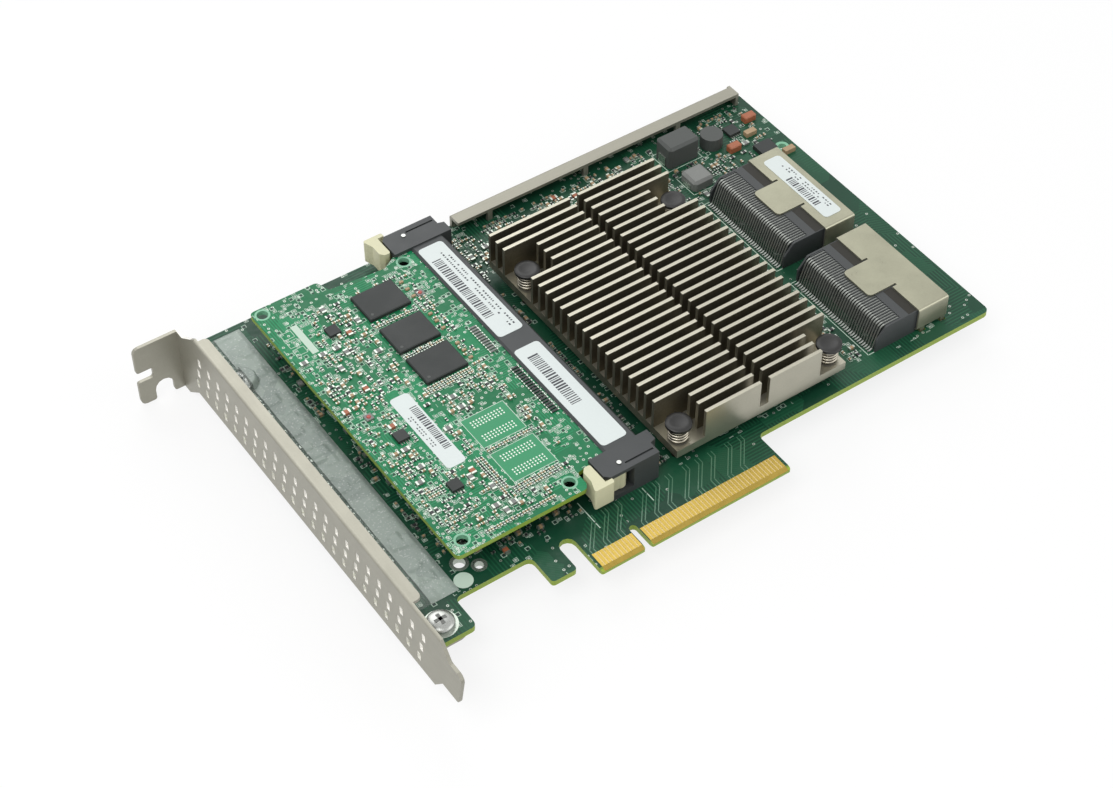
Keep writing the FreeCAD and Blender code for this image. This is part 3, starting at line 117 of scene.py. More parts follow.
def length(name, description, default):
    return FloatProperty(name=name, description=description, default=default, unit="LENGTH",
                         min=0.0, precision=5)


class CardColours(PropertyGroup):
    board: colour("Main board", "Solder mask of the main board", 14, 56, 39)
    board_copper: colour("Main board copper", "Mask over copper on the main board", 30, 84, 58)
    module: colour("Module board", "Solder mask of the memory module", 4, 100, 60)
    module_copper: colour("Module copper", "Mask over copper on the module", 24, 134, 86)
    laminate: colour("Laminate", "Cut edge of the boards", 150, 170, 60)
    tin: colour("Tin", "Solder and plated pads", 178, 186, 176)
    gold: colour("Gold", "Edge contacts", 172, 147, 70)
    silkscreen: colour("Silkscreen", "Printed lines on the boards", 190, 210, 194)
    bracket: colour("Bracket", "Plated steel of the bracket", 154, 152, 140)
    stiffener: colour("Stiffener", "Plated steel of the stiffener", 146, 144, 132)
    screw: colour("Screws", "Zinc plated screw heads", 176, 178, 174)
    sink: colour("Heat sink", "Nickel plate of the heat sink", 170, 167, 152)
    # Painted shade: the colour the plate is given low between the fins, where shade falls
    sink_painted_shade: colour("Fin roots", "Dull plate low between the fins", 104, 96, 76)
    shell: colour("Connector shells", "Nickel plate of the shells", 161, 160, 140)
    contact: colour("Connector contacts", "Tinned contact springs", 136, 139, 134)
    plastic: colour("Black plastic", "Socket and connector housings", 56, 59, 60)
    chip: colour("Chip moulding", "Memory chips and small chips", 35, 39, 38)
    ivory: colour("Latches", "Ivory plastic of the latches", 207, 205, 172)
    label: colour("Labels", "Label paper", 214, 222, 220)
    ink: colour("Ink", "Bars printed on the labels", 58, 60, 66)
    film: colour("Film", "Insulating film", 188, 202, 191)
    choke: colour("Power inductor", "Pressed powder of the power inductor", 74, 77, 75)
    small_choke: colour("Small inductor", "Pressed powder of the small inductor", 124, 126, 123)
    ceramic: colour("Ceramic", "Body of the chip capacitors", 166, 140, 108)
    tantalum: colour("Tantalum", "Body of the moulded capacitors", 158, 92, 62)


class CardSizes(PropertyGroup):
    coil_wire: length("Coil wire", "Wire of the push-pin springs", 0.55 * MM)
    coil_turns: IntProperty(name="Coil turns", description="Turns of each push-pin spring",
                            default=4, min=2, max=8)
    chip_pitch: length("Part spacing", "Grid on which small parts are set", 1.25 * MM)
    via_ring: length("Plated ring", "Width of the ring round a plated hole", 0.75 * MM)
    trace: length("Trace width", "Copper tracks that leave the edge contacts", 0.22 * MM)
    barcode_bar: length("Bar width", "Widest bar printed on the labels", 0.5 * MM)
    lens: FloatProperty(name="Lens", description="Focal length of the camera in millimetres",
                        default=74.56, min=10.0)


# ---- Node building
def node_math(operation):
    """A method that puts a Math node after a reading."""
    return lambda self, *others: self.nodes.math(operation, self, *others)


class Reading:
    """An output of a node, which can be added, multiplied and compared."""

    def __init__(self, nodes, socket):
        self.nodes = nodes
        self.socket = socket

    def __rsub__(self, other):
        return self.nodes.math("SUBTRACT", other, self)

    __add__ = node_math("ADD")
    __sub__ = node_math("SUBTRACT")
    __mul__ = node_math("MULTIPLY")
    __gt__ = node_math("GREATER_THAN")
    __lt__ = node_math("LESS_THAN")
    __abs__ = node_math("ABSOLUTE")


class Tree:
    """Adds and links the nodes of one node tree."""

    def __init__(self, tree):
        self.tree = tree

    def add(self, kind, inputs=(), **settings):
        node = self.tree.nodes.new(kind)
        for key, value in settings.items():
            setattr(node, key, value)
        for key, value in dict(inputs).items():
            self.feed(value, node.inputs[key])
        return node

    def read(self, kind, inputs=(), **settings):
        """Adds a node and gives its outputs by name."""
        node = self.add(kind, inputs, **settings)
        return {socket.name: Reading(self, socket) for socket in node.outputs}

    def feed(self, value, socket):
        if isinstance(value, Reading):
            self.tree.links.new(value.socket, socket)
        elif socket.type == "RGBA" and len(value) == 3:
            socket.default_value = (*value, 1.0)
        else:
            socket.default_value = value

    def math(self, operation, a, b=0.0):
        return self.read("ShaderNodeMath", {0: a, 1: b}, operation=operation)["Value"]

    def either(self, first, *others):
        """1 where any of some masks is, or the largest of their values."""
        for other in others:
            first = self.math("MAXIMUM", first, other)
        return first

    def between(self, value, low, high, soft=False):
        """0 below low, 1 above high, and a slope from one to the other."""
        return self.read("ShaderNodeMapRange", {"Value": value, "From Min": low, "From Max": high},
                         interpolation_type="SMOOTHSTEP" if soft else "LINEAR")["Result"]

    def band(self, value, low, high, edge):
        """1 from low to high, with a slope of the edge's width after each."""
        return self.between(value, low, low + edge) * (1.0 - self.between(value, high, high + edge))

    def blend(self, factor, a, b, mode="MIX"):
        node = self.add("ShaderNodeMix", {0: factor}, data_type="RGBA", blend_type=mode)
        self.feed(a, node.inputs[6])
        self.feed(b, node.inputs[7])
        return Reading(self, node.outputs[2])

    def noise(self, vector, scale, detail=2.0, roughness=0.5):
        return self.read("ShaderNodeTexNoise", {"Vector": vector, "Scale": scale, "Detail": detail,
                                                "Roughness": roughness})["Fac"]

    def axes(self, vector):
        return list(self.read("ShaderNodeSeparateXYZ", {"Vector": vector}).values())

    def cells(self, vector, scale, randomness=1.0, flat=True, square=True):
        """Reach from each cell's centre, and three random draws for each cell."""
        found = self.read("ShaderNodeTexVoronoi",
                          {"Vector": vector, "Scale": scale, "Randomness": randomness},
                          voronoi_dimensions="2D" if flat else "3D",
                          distance="CHEBYCHEV" if square else "EUCLIDEAN")
        draws = self.read("ShaderNodeSeparateColor", {"Color": found["Color"]})
        return [found["Distance"], *draws.values()]

    def group(self, name, inputs):
        return self.read("ShaderNodeGroup", inputs, node_tree=bpy.data.node_groups[name])

    def backdrop_seen(self):
        """1 where the camera, a gloss or a clear piece sees the floor or the sky."""
        ray = self.read("ShaderNodeLightPath")
        return self.either(ray["Is Camera Ray"], ray["Is Glossy Ray"], ray["Is Transmission Ray"])


def new_group(name, inputs, outputs):
    """A node group, from the defaults of its inputs and the kinds of its outputs.

    Returns its nodes, what it is given and the sockets of what it makes.
    """
    tree = bpy.data.node_groups.new(name, "ShaderNodeTree")
    for label, default in inputs.items():
        kind = "Float" if isinstance(default, float) else {3: "Vector", 4: "Color"}[len(default)]
        socket = tree.interface.new_socket(label, in_out="INPUT", socket_type="NodeSocket" + kind)
        socket.default_value = default
    for label, kind in outputs.items():
        tree.interface.new_socket(label, in_out="OUTPUT", socket_type="NodeSocket" + kind)
    nodes = Tree(tree)
    return nodes, nodes.read("NodeGroupInput"), nodes.add("NodeGroupOutput").inputs


def build_mottle_group():
    """Slow stains and fine grain of a moulded or plated surface."""
    nodes, given, made = new_group(
        "Mottle",
        {"Vector": (0.0, 0.0, 0.0), "Colour": (0.5, 0.5, 0.5, 1.0), "Depth": 0.25,
         "Stain Scale": 160.0, "Grain Scale": 2600.0},
        {"Colour": "Color", "Roughness": "Float", "Height": "Float"})
    stain = nodes.noise(given["Vector"], given["Stain Scale"], 4.0, 0.6)
    grain = nodes.noise(given["Vector"], given["Grain Scale"], 2.0, 0.6)
    level = stain * 0.65 + grain * 0.35
    lift = (level - 0.5) * given["Depth"] * 2.0 + 1.0
    grey = nodes.read("ShaderNodeCombineColor", {"Red": lift, "Green": lift, "Blue": lift})["Color"]
    nodes.feed(nodes.blend(1.0, given["Colour"], grey, "MULTIPLY"), made["Colour"])
    nodes.feed(level, made["Roughness"])
    nodes.feed(grain, made["Height"])


def build_rolled_group():
    """Fine lines along one axis, as rolling or extruding leaves them in metal."""
    nodes, given, made = new_group(
        "Rolled Lines",
        {"Vector": (0.0, 0.0, 0.0), "Stretch": (40.0, 4000.0, 4000.0)}, {"Lines": "Float"})
    scaled = nodes.read("ShaderNodeVectorMath", {0: given["Vector"], 1: given["Stretch"]},
                        operation="MULTIPLY")["Vector"]
    nodes.feed(nodes.noise(scaled, 1.0, 3.0, 0.6), made["Lines"])


def build_circuit_group():
    """Tracks, poured copper, plated vias and printed part outlines on a solder mask."""
    nodes, given, made = new_group(
        "Circuit",
        {"Vector": (0.0, 0.0, 0.0), "Mask": (0.0, 0.1, 0.05, 1.0), "Copper": (0.0, 0.2, 0.1, 1.0),
         "Via": (0.6, 0.7, 0.6, 1.0), "Print": (0.6, 0.7, 0.6, 1.0), "Track Pitch": 900.0,
         "Via Density": 0.5, "Print Density": 0.3},
        {"Colour": "Color", "Height": "Float", "Metal": "Float"})
    place = given["Vector"]
    mask, copper_tint, tin = given["Mask"], given["Copper"], given["Via"]
    x, y, _ = nodes.axes(place)

    # Patches whose tracks run along X, along Y or aslant, or that are poured or left plain
    patch_scale, cloud_scale, crowd_scale = 95.0, 45.0, 110.0
    _, heading, routed, poured = nodes.cells(place, patch_scale, flat=False)
    across = nodes.blend(heading > 0.42, x, y)
    across = nodes.blend(heading > 0.74, across, x + y)
    line = nodes.band(nodes.math("FRACT", across * given["Track Pitch"]), 0.42, 0.82, 0.06)
    copper = nodes.either(line * (routed > 0.38), (poured > 0.72) * 0.55)
    base = nodes.blend(copper, mask, copper_tint)
    cloud = nodes.between(nodes.noise(place, cloud_scale, 3.0), 0.3, 0.7)
    base = nodes.blend(cloud * 0.35, base, copper_tint)

    # Vias, closer together where the noise is high
    via_scale, ring_radius, bore_radius = 620.0, 0.21, 0.1
    reach, draw, _, _ = nodes.cells(place, via_scale, 0.75, square=False)
    chosen = draw + (0.5 - nodes.noise(place, 90.0, 2.0)) < given["Via Density"]
    ring = (reach < ring_radius) * chosen
    bore = (reach < bore_radius) * chosen
    base = nodes.blend(bore, nodes.blend(ring, base, tin), mask)

    # Printed outlines round parts that are too small to model
    part_scale, part_half, outline_from, outline_to = 760.0, 0.2, 0.3, 0.42
    reach, draw, kind, _ = nodes.cells(place, part_scale, 0.45)
    crowd = nodes.between(nodes.noise(place, crowd_scale, 3.0), 0.36, 0.62)
    chosen = draw < crowd * given["Print Density"]
    outline = nodes.band(reach, outline_from, outline_to, 0.04)
    base = nodes.blend(outline * chosen * 0.8, base, given["Print"])
    body = nodes.blend(kind > 0.45, (0.02, 0.03, 0.03), tin)
    base = nodes.blend((reach < part_half) * chosen, base, body)

    nodes.feed(base, made["Colour"])
    nodes.feed(copper + (ring - bore * 2.0), made["Height"])
    nodes.feed(ring - bore, made["Metal"])


# ---- Finishes
class Finish(Tree):
    """A new material, with its Principled shader and the coordinates its patterns read."""

    def __init__(self, name):
        self.material = bpy.data.materials.new(name)
        self.material.use_nodes = True
        super().__init__(self.material.node_tree)
        self.shader = self.tree.nodes["Principled BSDF"]
        seen = self.read("ShaderNodeTexCoord")
        self.place, self.normal = seen["Object"], seen["Normal"]

    def surface(self, inputs):
        """Feeds the Principled shader."""
        for key, value in inputs.items():
            self.feed(value, self.shader.inputs[key])

    def bump(self, height, strength, distance=RELIEF):
        self.surface(self.read("ShaderNodeBump", {"Height": height, "Strength": strength,
                                                  "Distance": distance}))

    def lines(self, stretch):
        return self.group("Rolled Lines", {"Vector": self.place, "Stretch": stretch})["Lines"]

    def mottle(self, shade, depth, **scales):
        named = {key.replace("_", " ").title(): value for key, value in scales.items()}
        return self.group("Mottle", {"Vector": self.place, "Colour": paint(shade), "Depth": depth,
                                     **named})


def mottled(name, shade, roughness, metallic, depth, bumps=0.15, grain=2600.0, coat=0.0,
            stretch=None):
    """A moulded, pressed or plated finish, with rolled lines where a stretch is given."""
    made = Finish(name)
    stains = made.mottle(shade, depth, grain_scale=grain)
    rough, height = stains["Roughness"], stains["Height"]
    if stretch:
        height = made.lines(stretch)
        rough = rough * 0.5 + height * 0.5
    span = made.read("ShaderNodeMapRange", {"Value": rough, "From Min": 0.3, "From Max": 0.7,
                                            "To Min": roughness[0], "To Max": roughness[1]})
    made.surface({"Base Color": stains["Colour"], "Roughness": span["Result"],
                  "Metallic": metallic, "Coat Weight": coat})
    made.bump(height, bumps)
    return made.material


def board_finish(name, node, shade, pitch, vias, prints, plain=()):
    """Solder mask over tracks, pale cut edges, and no vias or prints in the plain zones."""
    made = Finish(name)
    low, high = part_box(node)
    x, y, z = made.axes(made.place)
    if plain:
        busy = 1.0
        for left, top in plain:
            busy = (1.0 - (x > left) * (y < top)) * busy
        vias, prints = busy * vias, busy * prints
    circuit = made.group("Circuit", {
        "Vector": made.place, "Mask": paint(shade), "Copper": paint(shade + "_copper"),
        "Via": paint("tin"), "Print": paint("silkscreen"), "Track Pitch": pitch,
        "Via Density": vias, "Print Density": prints})
    cut_edge = abs(made.axes(made.normal)[2]) < 0.97
    plies = 4.0
    ply = made.math("FRACT", made.between(z, low.z, high.z) * plies)
    core = made.blend((ply > 0.6) * 0.45, paint("laminate"), paint(shade + "_copper"))
    worn = made.between(made.noise(made.place, 700.0, 3.0), 0.3, 0.7)
    made.surface({"Base Color": made.blend(cut_edge, circuit["Colour"], core),
                  "Roughness": worn * 0.18 + 0.3, "Metallic": circuit["Metal"] * 0.6,
                  "Specular IOR Level": 0.28})
    made.bump(circuit["Height"], 0.35, 0.03 * MM)
    return made.material


def sink_finish():
    """Nickel plate, with dull brown painted shade between the fins and painted highlights on the
    fin tops, ends and front.
    """
    made = Finish("Sink_Nickel")
    low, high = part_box("heatsink")
    base_height = 2.0 * MM
    _, y, z = made.axes(made.place)
    facing_x, _, facing_z = made.axes(made.normal)
    rise = made.between(z, low.z + base_height, high.z, True)
    stains = made.mottle("sink", 0.22, stain_scale=120.0)
    # Painted highlights on faces turned up and on the front face, and lighter fin ends
    painted_top_light = made.either(facing_z > 0.5, y < low.y + 0.05 * MM)
    fin_end_light = (abs(facing_x) > 0.5) * 0.55
    # Grain of the plate, fading into painted shade towards the fin roots
    speckle_and_low_shade = made.noise(made.place, 1500.0, 3.0, 0.7) * (rise + 0.25)
    lit = made.either(speckle_and_low_shade * 0.45, fin_end_light, painted_top_light)
    lines = made.lines((60.0, 3000.0, 3000.0))
    # Where the painted light is low, the colour falls to the painted shade of the fin roots
    made.surface({"Base Color": made.blend(lit, paint("sink_painted_shade"), stains["Colour"]),
                  "Roughness": lines * 0.25 + 0.22, "Metallic": 0.85})
    made.bump(lines, 0.25)
    return made.material


def bracket_finish():
    """Plated steel whose punched edges are painted pale and matt, as painted light seen through the
    vents.
    """
    made = Finish("Bracket_Steel")
    inner_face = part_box("main_board")[0].x
    x, y, z = made.axes(made.place)
    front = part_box("bracket")[1].z
    stains = made.mottle("bracket", 0.16)
    facing = abs(made.axes(made.normal)[0])
    sheet = (x > inner_face - 1.1 * MM) * (x < inner_face - 0.33 * MM)
    inside = (z < front - 1.2 * MM) * (y > 0.0)
    # Painted light: the walls of the vents and the sheet's cut edges are painted near white and not
    # metallic
    cut = (facing < 0.3) * (sheet * inside)
    lines = made.lines((4000.0, 50.0, 4000.0))
    made.surface({"Base Color": made.blend(cut, stains["Colour"], tone(246, 244, 238)),
                  "Roughness": lines * 0.2 + 0.32, "Metallic": (1.0 - cut) * 0.7})
    made.bump(lines, 0.15)
    return made.material


def film_finish():
    """Hazy film with painted glints and creases, clear up to the hem beside the flange."""
    made = Finish("Clear_Film")
    haze = made.between(made.noise(made.place, 260.0, 5.0, 0.7), 0.3, 0.7)
    # Painted glints: pale specks that also make the film less clear
    painted_glints = made.between(made.noise(made.place, 2200.0, 2.0), 0.6, 0.66)
    crease = made.cells(made.place, 150.0)[1]
    tint = made.blend(crease * 0.5, paint("film"), tone(128, 140, 136))
    tint = made.blend(painted_glints, tint, tone(206, 212, 208))
    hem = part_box("insulating_film")[0].x + 5.2 * MM
    soft = 0.1 * MM
    past_hem = made.between(made.axes(made.place)[0], hem - soft, hem + soft)
    cover = made.either(haze * 0.16 + 0.68, painted_glints * 0.85)
    made.surface({"Base Color": made.blend(haze * 0.3, tint, tone(92, 104, 104)),
                  "Alpha": cover * (past_hem * 0.8 + 0.2), "Roughness": 0.32})
    made.bump(haze, 0.25, 0.1 * MM)
    return made.material


def label_finish():
    """Matt paper with a faint fibre."""
    made = Finish("Label_White")
    fibre = made.noise(made.place, 1800.0, 4.0, 0.7)
    shade = made.between(fibre, 0.2, 0.8)
    made.surface({"Base Color": made.blend(shade * 0.12, paint("label"), tone(190, 194, 200)),
                  "Roughness": fibre * 0.2 + 0.4})
    made.bump(fibre, 0.06, 0.01 * MM)
    return made.material


# Colour, least and most roughness, metallic and stain depth of each plain finish, and where they
# differ from the usual, its bump, grain scale, coat and the stretch of its rolled lines
PLAIN_FINISHES = {
    "contact_gold": ("gold", (0.2, 0.38), 0.9, 0.3),
    "stiffener_steel": ("stiffener", (0.35, 0.55), 0.6, 0.16, 0.15, 2600.0, 0.0,
                        (40.0, 4000.0, 4000.0)),
    "screw_steel": ("screw", (0.22, 0.42), 0.9, 0.4),
    "socket_black": ("plastic", (0.42, 0.6), 0.0, 0.25, 0.25),
    "contact_tin": ("contact", (0.22, 0.4), 0.6, 0.25),
    "latch_ivory": ("ivory", (0.4, 0.55), 0.0, 0.16),
    "pin_steel": ("screw", (0.15, 0.3), 0.95, 0.2),
    "chip_black": ("chip", (0.5, 0.68), 0.0, 0.3, 0.3, 4200.0),
    "thermal_grey": ((120, 122, 124), (0.6, 0.8), 0.0, 0.2),
    "pin_black": ((22, 22, 21), (0.35, 0.5), 0.0, 0.2),
    "spring_steel": ((176, 170, 156), (0.2, 0.34), 0.95, 0.2),
    "shell_nickel": ("shell", (0.26, 0.42), 0.75, 0.2),
    "choke_dark": ("choke", (0.5, 0.7), 0.1, 0.4, 0.5, 3400.0),
    "choke_grey": ("small_choke", (0.5, 0.7), 0.15, 0.4, 0.5, 3400.0),
    "ceramic_tan": ("ceramic", (0.4, 0.55), 0.0, 0.2),
    "capacitor_brown": ("tantalum", (0.4, 0.55), 0.0, 0.2),
    "silkscreen": ("silkscreen", (0.5, 0.65), 0.0, 0.12),
    "label_ink": ("ink", (0.5, 0.65), 0.0, 0.2),
    "solder": ("tin", (0.2, 0.4), 0.8, 0.35),
    "copper_track": ((74, 118, 92), (0.28, 0.4), 0.0, 0.2, 0.15, 2600.0, 0.3),
    "bare_laminate": ((216, 192, 134), (0.4, 0.55), 0.2, 0.2),
    # Painted shade for the gaps beside the connector shells
    "dark_recess": ((26, 24, 15), (0.5, 0.6), 0.2, 0.5),
    "plain_green": ("module_copper", (0.35, 0.45), 0.0, 0.2),
    "ring_green": ((120, 178, 146), (0.3, 0.4), 0.0, 0.2),
    "resistor_black": ((40, 40, 42), (0.4, 0.55), 0.0, 0.25),
    "lamp_red": ((168, 66, 58), (0.3, 0.4), 0.0, 0.2),
}
# Zones of the main board without vias or prints: right of x and below y
PLAIN_ZONES = ((-9.0 * MM, 15.0 * MM), (96.0 * MM, 88.0 * MM))
FINISHES = {}


def build_finishes():
    """Every material of the card, by the record's slot or by its own name."""
    build_mottle_group()
    build_rolled_group()
    build_circuit_group()
    FINISHES.update(
        board_green=board_finish("Board_Green", "main_board", "board", 1150.0, 0.14, 0.16,
                                 PLAIN_ZONES),
        module_green=board_finish("Module_Green", "module_board", "module", 1500.0, 0.5, 0.62),
        bracket_steel=bracket_finish(), clear_film=film_finish(), label_white=label_finish(),
        sink_nickel=sink_finish())
    for name, values in PLAIN_FINISHES.items():
        FINISHES[name] = mottled(name.title(), *values)


# ---- Footprints
def spot(node, margin=0.0):
    """Footprint (x0, y0, x1, y1) of a CAD node, widened by a margin."""
    low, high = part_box(node)
    return (low.x - margin, low.y - margin, high.x + margin, high.y + margin)


def around(x, y, half_x, half_y):
    """Footprint about a point."""
    return (x - half_x, y - half_y, x + half_x, y + half_y)


def upright(node):
    """Axis, radius, foot and top of a round CAD node that stands on end."""
    low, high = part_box(node)
    return ((low.x + high.x) / 2, (low.y + high.y) / 2), (high.x - low.x) / 2, low.z, high.z


def clear_of(box, keep_out):
    return all(box[2] < x0 or box[0] > x1 or box[3] < y0 or box[1] > y1
               for x0, y0, x1, y1 in keep_out)


def solid_spots(node, margin=0.0):
    """Footprint of each separate solid in a CAD node."""
    bm = bmesh.new()
    bm.from_mesh(frame["nodes"][node].data)
    bmesh.ops.remove_doubles(bm, verts=bm.verts, dist=1e-6)
    found = []
    left = set(bm.verts)
    while left:
        island = {left.pop()}
        edge = list(island)
        while edge:
            near = {e.other_vert(vert) for vert in edge for e in vert.link_edges} & left
            left -= near
            island |= near
            edge = list(near)
        xs = [vert.co.x for vert in island]
        ys = [vert.co.y for vert in island]
        found.append((min(xs) - margin, min(ys) - margin, max(xs) + margin, max(ys) + margin))
    bm.free()
    return sorted(found)


def module_footprints():
    """Two bare chip places below the memory chips."""
    low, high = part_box("memory_chip_3")
    width = high.y - low.y
    tops = (low.y - 13.5 * MM - step * (width + 2.9 * MM) for step in (0, 1))
    return [(low.x, top - width - 0.6 * MM, high.x + 0.3 * MM, top) for top in tops]


def module_hole_places():
    """Centres of the plated holes in the module's corners and beside the socket."""
    low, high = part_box("module_board")
    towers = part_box("module_socket")
    bar = towers[0].x + SOCKET_BAR
    return (
        (low.x + 2.4 * MM, high.y - 2.2 * MM),
        (low.x + 3.5 * MM, low.y + 3.5 * MM),
        (bar - 11.1 * MM, low.y + 3.7 * MM),
        (bar - 3.6 * MM, towers[1].y - 9.2 * MM),
    )


# ---- Mesh building
def all_of(bm):
    return bm.verts[:] + bm.edges[:] + bm.faces[:]


def corners(geometry):
    return [item for item in geometry if isinstance(item, bmesh.types.BMVert)]


def colour_faces(verts, index):
    """Gives the faces of new vertices a material index."""
    for face in {face for vert in verts for face in vert.link_faces}:
        face.material_index = index


def add_box(bm, low, high, index=0):
    low, high = Vector(low), Vector(high)
    place = Matrix.Translation((low + high) / 2) @ Matrix.Diagonal((*(high - low), 1.0))
    colour_faces(bmesh.ops.create_cube(bm, size=1.0, matrix=place)["verts"], index)


def add_tab(bm, x, y, z, length, width, height, turned=False, index=0):
    """Block on a surface at z, centred on x, y."""
    if turned:
        length, width = width, length
    add_box(bm, (x - length / 2, y - width / 2, z), (x + length / 2, y + width / 2, z + height),
            index)


def add_disc(bm, x, y, z, radius, top_radius, height, segments, index=0):
    """Round block or lens on a surface at z."""
    place = Matrix.Translation((x, y, z + height / 2))
    made = bmesh.ops.create_cone(bm, cap_ends=True, segments=segments, radius1=radius,
                                 radius2=top_radius, depth=height, matrix=place)
    colour_faces(made["verts"], index)


def add_lathe(bm, centre, profile, steps=40, index=0):
    """Solid of revolution about a vertical line, from (radius, z) corners."""
    verts = [bm.verts.new((centre[0] + r, centre[1], z)) for r, z in profile]
    edges = [bm.edges.new(pair) for pair in zip(verts, verts[1:])]
    before = set(bm.faces)
    bmesh.ops.spin(bm, geom=verts + edges, cent=(*centre, 0.0), axis=VERTICAL,
                   angle=2 * math.pi, steps=steps, use_merge=True)
    for face in set(bm.faces) - before:
        face.material_index = index


def add_ring(bm, centre, z, inner, outer, drop=0.0, index=0):
    """Plated ring, with the plating carried down the hole where drop is given."""
    top = z + PRINT_LIFT
    profile = [(inner, z - drop), (inner, top), (outer, top), (outer, z)]
    if drop == 0.0:
        profile.append((inner, z))
    add_lathe(bm, centre, profile, 28, index)


def add_print(bm, box, z=0.0, index=0, lift=PRINT_LIFT):
    """Flat print or pad over a footprint, on a surface at z."""
    x0, y0, x1, y1 = box
    add_box(bm, (x0, y0, z), (x1, y1, z + lift), index)


def add_outline(bm, box, z, width):
    """Printed rectangle along the sides of a footprint."""
    x0, y0, x1, y1 = box
    half = width / 2
    for x, y in ((x0, y0), (x1, y1)):
        add_print(bm, (x0, y - half, x1, y + half), z)
        add_print(bm, (x - half, y0, x + half, y1), z)


def add_track(bm, points, width):
    """Flat copper track through points on the main board."""
    overlap = width * 0.4
    for (xa, ya), (xb, yb) in zip(points, points[1:]):
        run = Vector((xb - xa, yb - ya))
        if run.length < 1e-6:
            continue
        place = Matrix.Translation(((xa + xb) / 2, (ya + yb) / 2, PRINT_LIFT / 2))
        place = place @ Matrix.Rotation(math.atan2(run.y, run.x), 4, "Z")
        place = place @ Matrix.Diagonal((run.length + overlap, width, PRINT_LIFT, 1.0))
        bmesh.ops.create_cube(bm, size=1.0, matrix=place)


def link(name, data):
    """A new object of the scene."""
    made = bpy.data.objects.new(name, data)
    bpy.context.scene.collection.objects.link(made)
    return made


def link_mesh(bm, name, *materials):
    """Turns a bmesh into an object with its materials."""
    mesh = bpy.data.meshes.new(name)
    bm.to_mesh(mesh)
    bm.free()
    for each in materials:
        mesh.materials.append(each)
    return link(name, mesh)


def finish_piece(bm, name, finishes, stands_for=None, smooth=None):
    """Turns a bmesh into a named piece of the card, smooth up to an angle in degrees."""
    bmesh.ops.remove_doubles(bm, verts=bm.verts, dist=1e-7)
    if smooth is not None:
        bmesh.ops.recalc_face_normals(bm, faces=bm.faces)
        for face in bm.faces:
            face.smooth = True
        for edge in bm.edges:
            if len(edge.link_faces) == 2 and edge.calc_face_angle(0.0) > math.radians(smooth):
                edge.smooth = False
    piece = link_mesh(bm, name, *(FINISHES[finish] for finish in finishes))
    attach(piece, "card")
    if stands_for:
        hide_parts(stands_for)


def dress(node, finish):
    """Gives a CAD node its material."""
    piece = frame["nodes"][node]
    if not piece.material_slots:
        piece.data.materials.append(FINISHES[finish])
    for each in piece.material_slots:
        each.material = FINISHES[finish]


# ---- Fields of small parts
# Material indices in a field
TIN, DARK, TAN, GREY, RED, BROWN = range(6)
FIELD_FINISHES = ("solder", "resistor_black", "ceramic_tan", "choke_grey", "lamp_red",
                  "capacitor_brown")
# Part: length, width and height in mm, body material, share of the parts
PART_KINDS = (
    (1.0, 0.5, 0.35, DARK, 0.40),
    (1.0, 0.5, 0.50, TAN, 0.32),
    (1.6, 0.8, 0.75, TAN, 0.10),
    (1.6, 0.8, 0.45, DARK, 0.10),
    (2.0, 1.25, 0.8, BROWN, 0.01),
    (2.0, 1.2, 0.6, GREY, 0.07),
)
# Parts of the close rows, likewise but without a share
LANE_KINDS = ((0.9, 0.45, 0.45, TAN), (0.9, 0.45, 0.45, TAN), (0.9, 0.45, 0.35, DARK),
              (0.9, 0.45, 0.4, GREY))
LANE_PITCH = 0.74
# Close rows of parts on the module: x0, y0, x1, y1 in mm
MODULE_LANES = (
    (-17.2, 85.65, -6.5, 85.65), (-17.2, 84.4, -6.5, 84.4),
    (-17.2, 73.35, -6.5, 73.35), (-17.2, 72.15, -6.5, 72.15),
    (-18.6, 60.9, -6.3, 60.9), (-18.6, 59.7, -6.3, 59.7),
    (-17.2, 37.4, -5.2, 37.4),
    (-18.6, 25.2, -6.2, 25.2), (-18.6, 24.0, -6.2, 24.0),
    (-20.9, 23.5, -20.9, 37.0), (-19.7, 26.4, -19.7, 37.0),
    (-30.4, 18.1, -12.0, 18.1),
    (-35.2, 34.6, -26.4, 34.6), (-35.2, 33.2, -26.4, 33.2),
)
LAMP_PLACES = ((-2.7, 88.4), (-33.7, 61.2))
TURN_SHARE = 0.14        # how often a row turns its parts from there on
OUTLINE_SHARE = 0.45     # how often a part has a printed outline


def add_chip_part(bm, x, y, z, kind, turned, below=False):
    """Chip resistor or capacitor: a body between two tinned ends."""
    length, width, height = (size * MM for size in kind[:3])
    cap = length * 0.24
    inset = 0.03 * MM
    base = z - height if below else z
    for side in (-1, 1):
        offset = side * (length - cap) / 2
        end = (x, y + offset) if turned else (x + offset, y)
        add_tab(bm, *end, base, cap, width, height, turned, TIN)
    add_tab(bm, x, y, base + (inset if below else 0.0), length - 2 * cap, width - inset,
            height - inset, turned, kind[3])


def pick_kind(rng):
    roll = rng.random()
    for kind in PART_KINDS:
        roll -= kind[4]
        if roll <= 0.0:
            return kind
    return PART_KINDS[0]


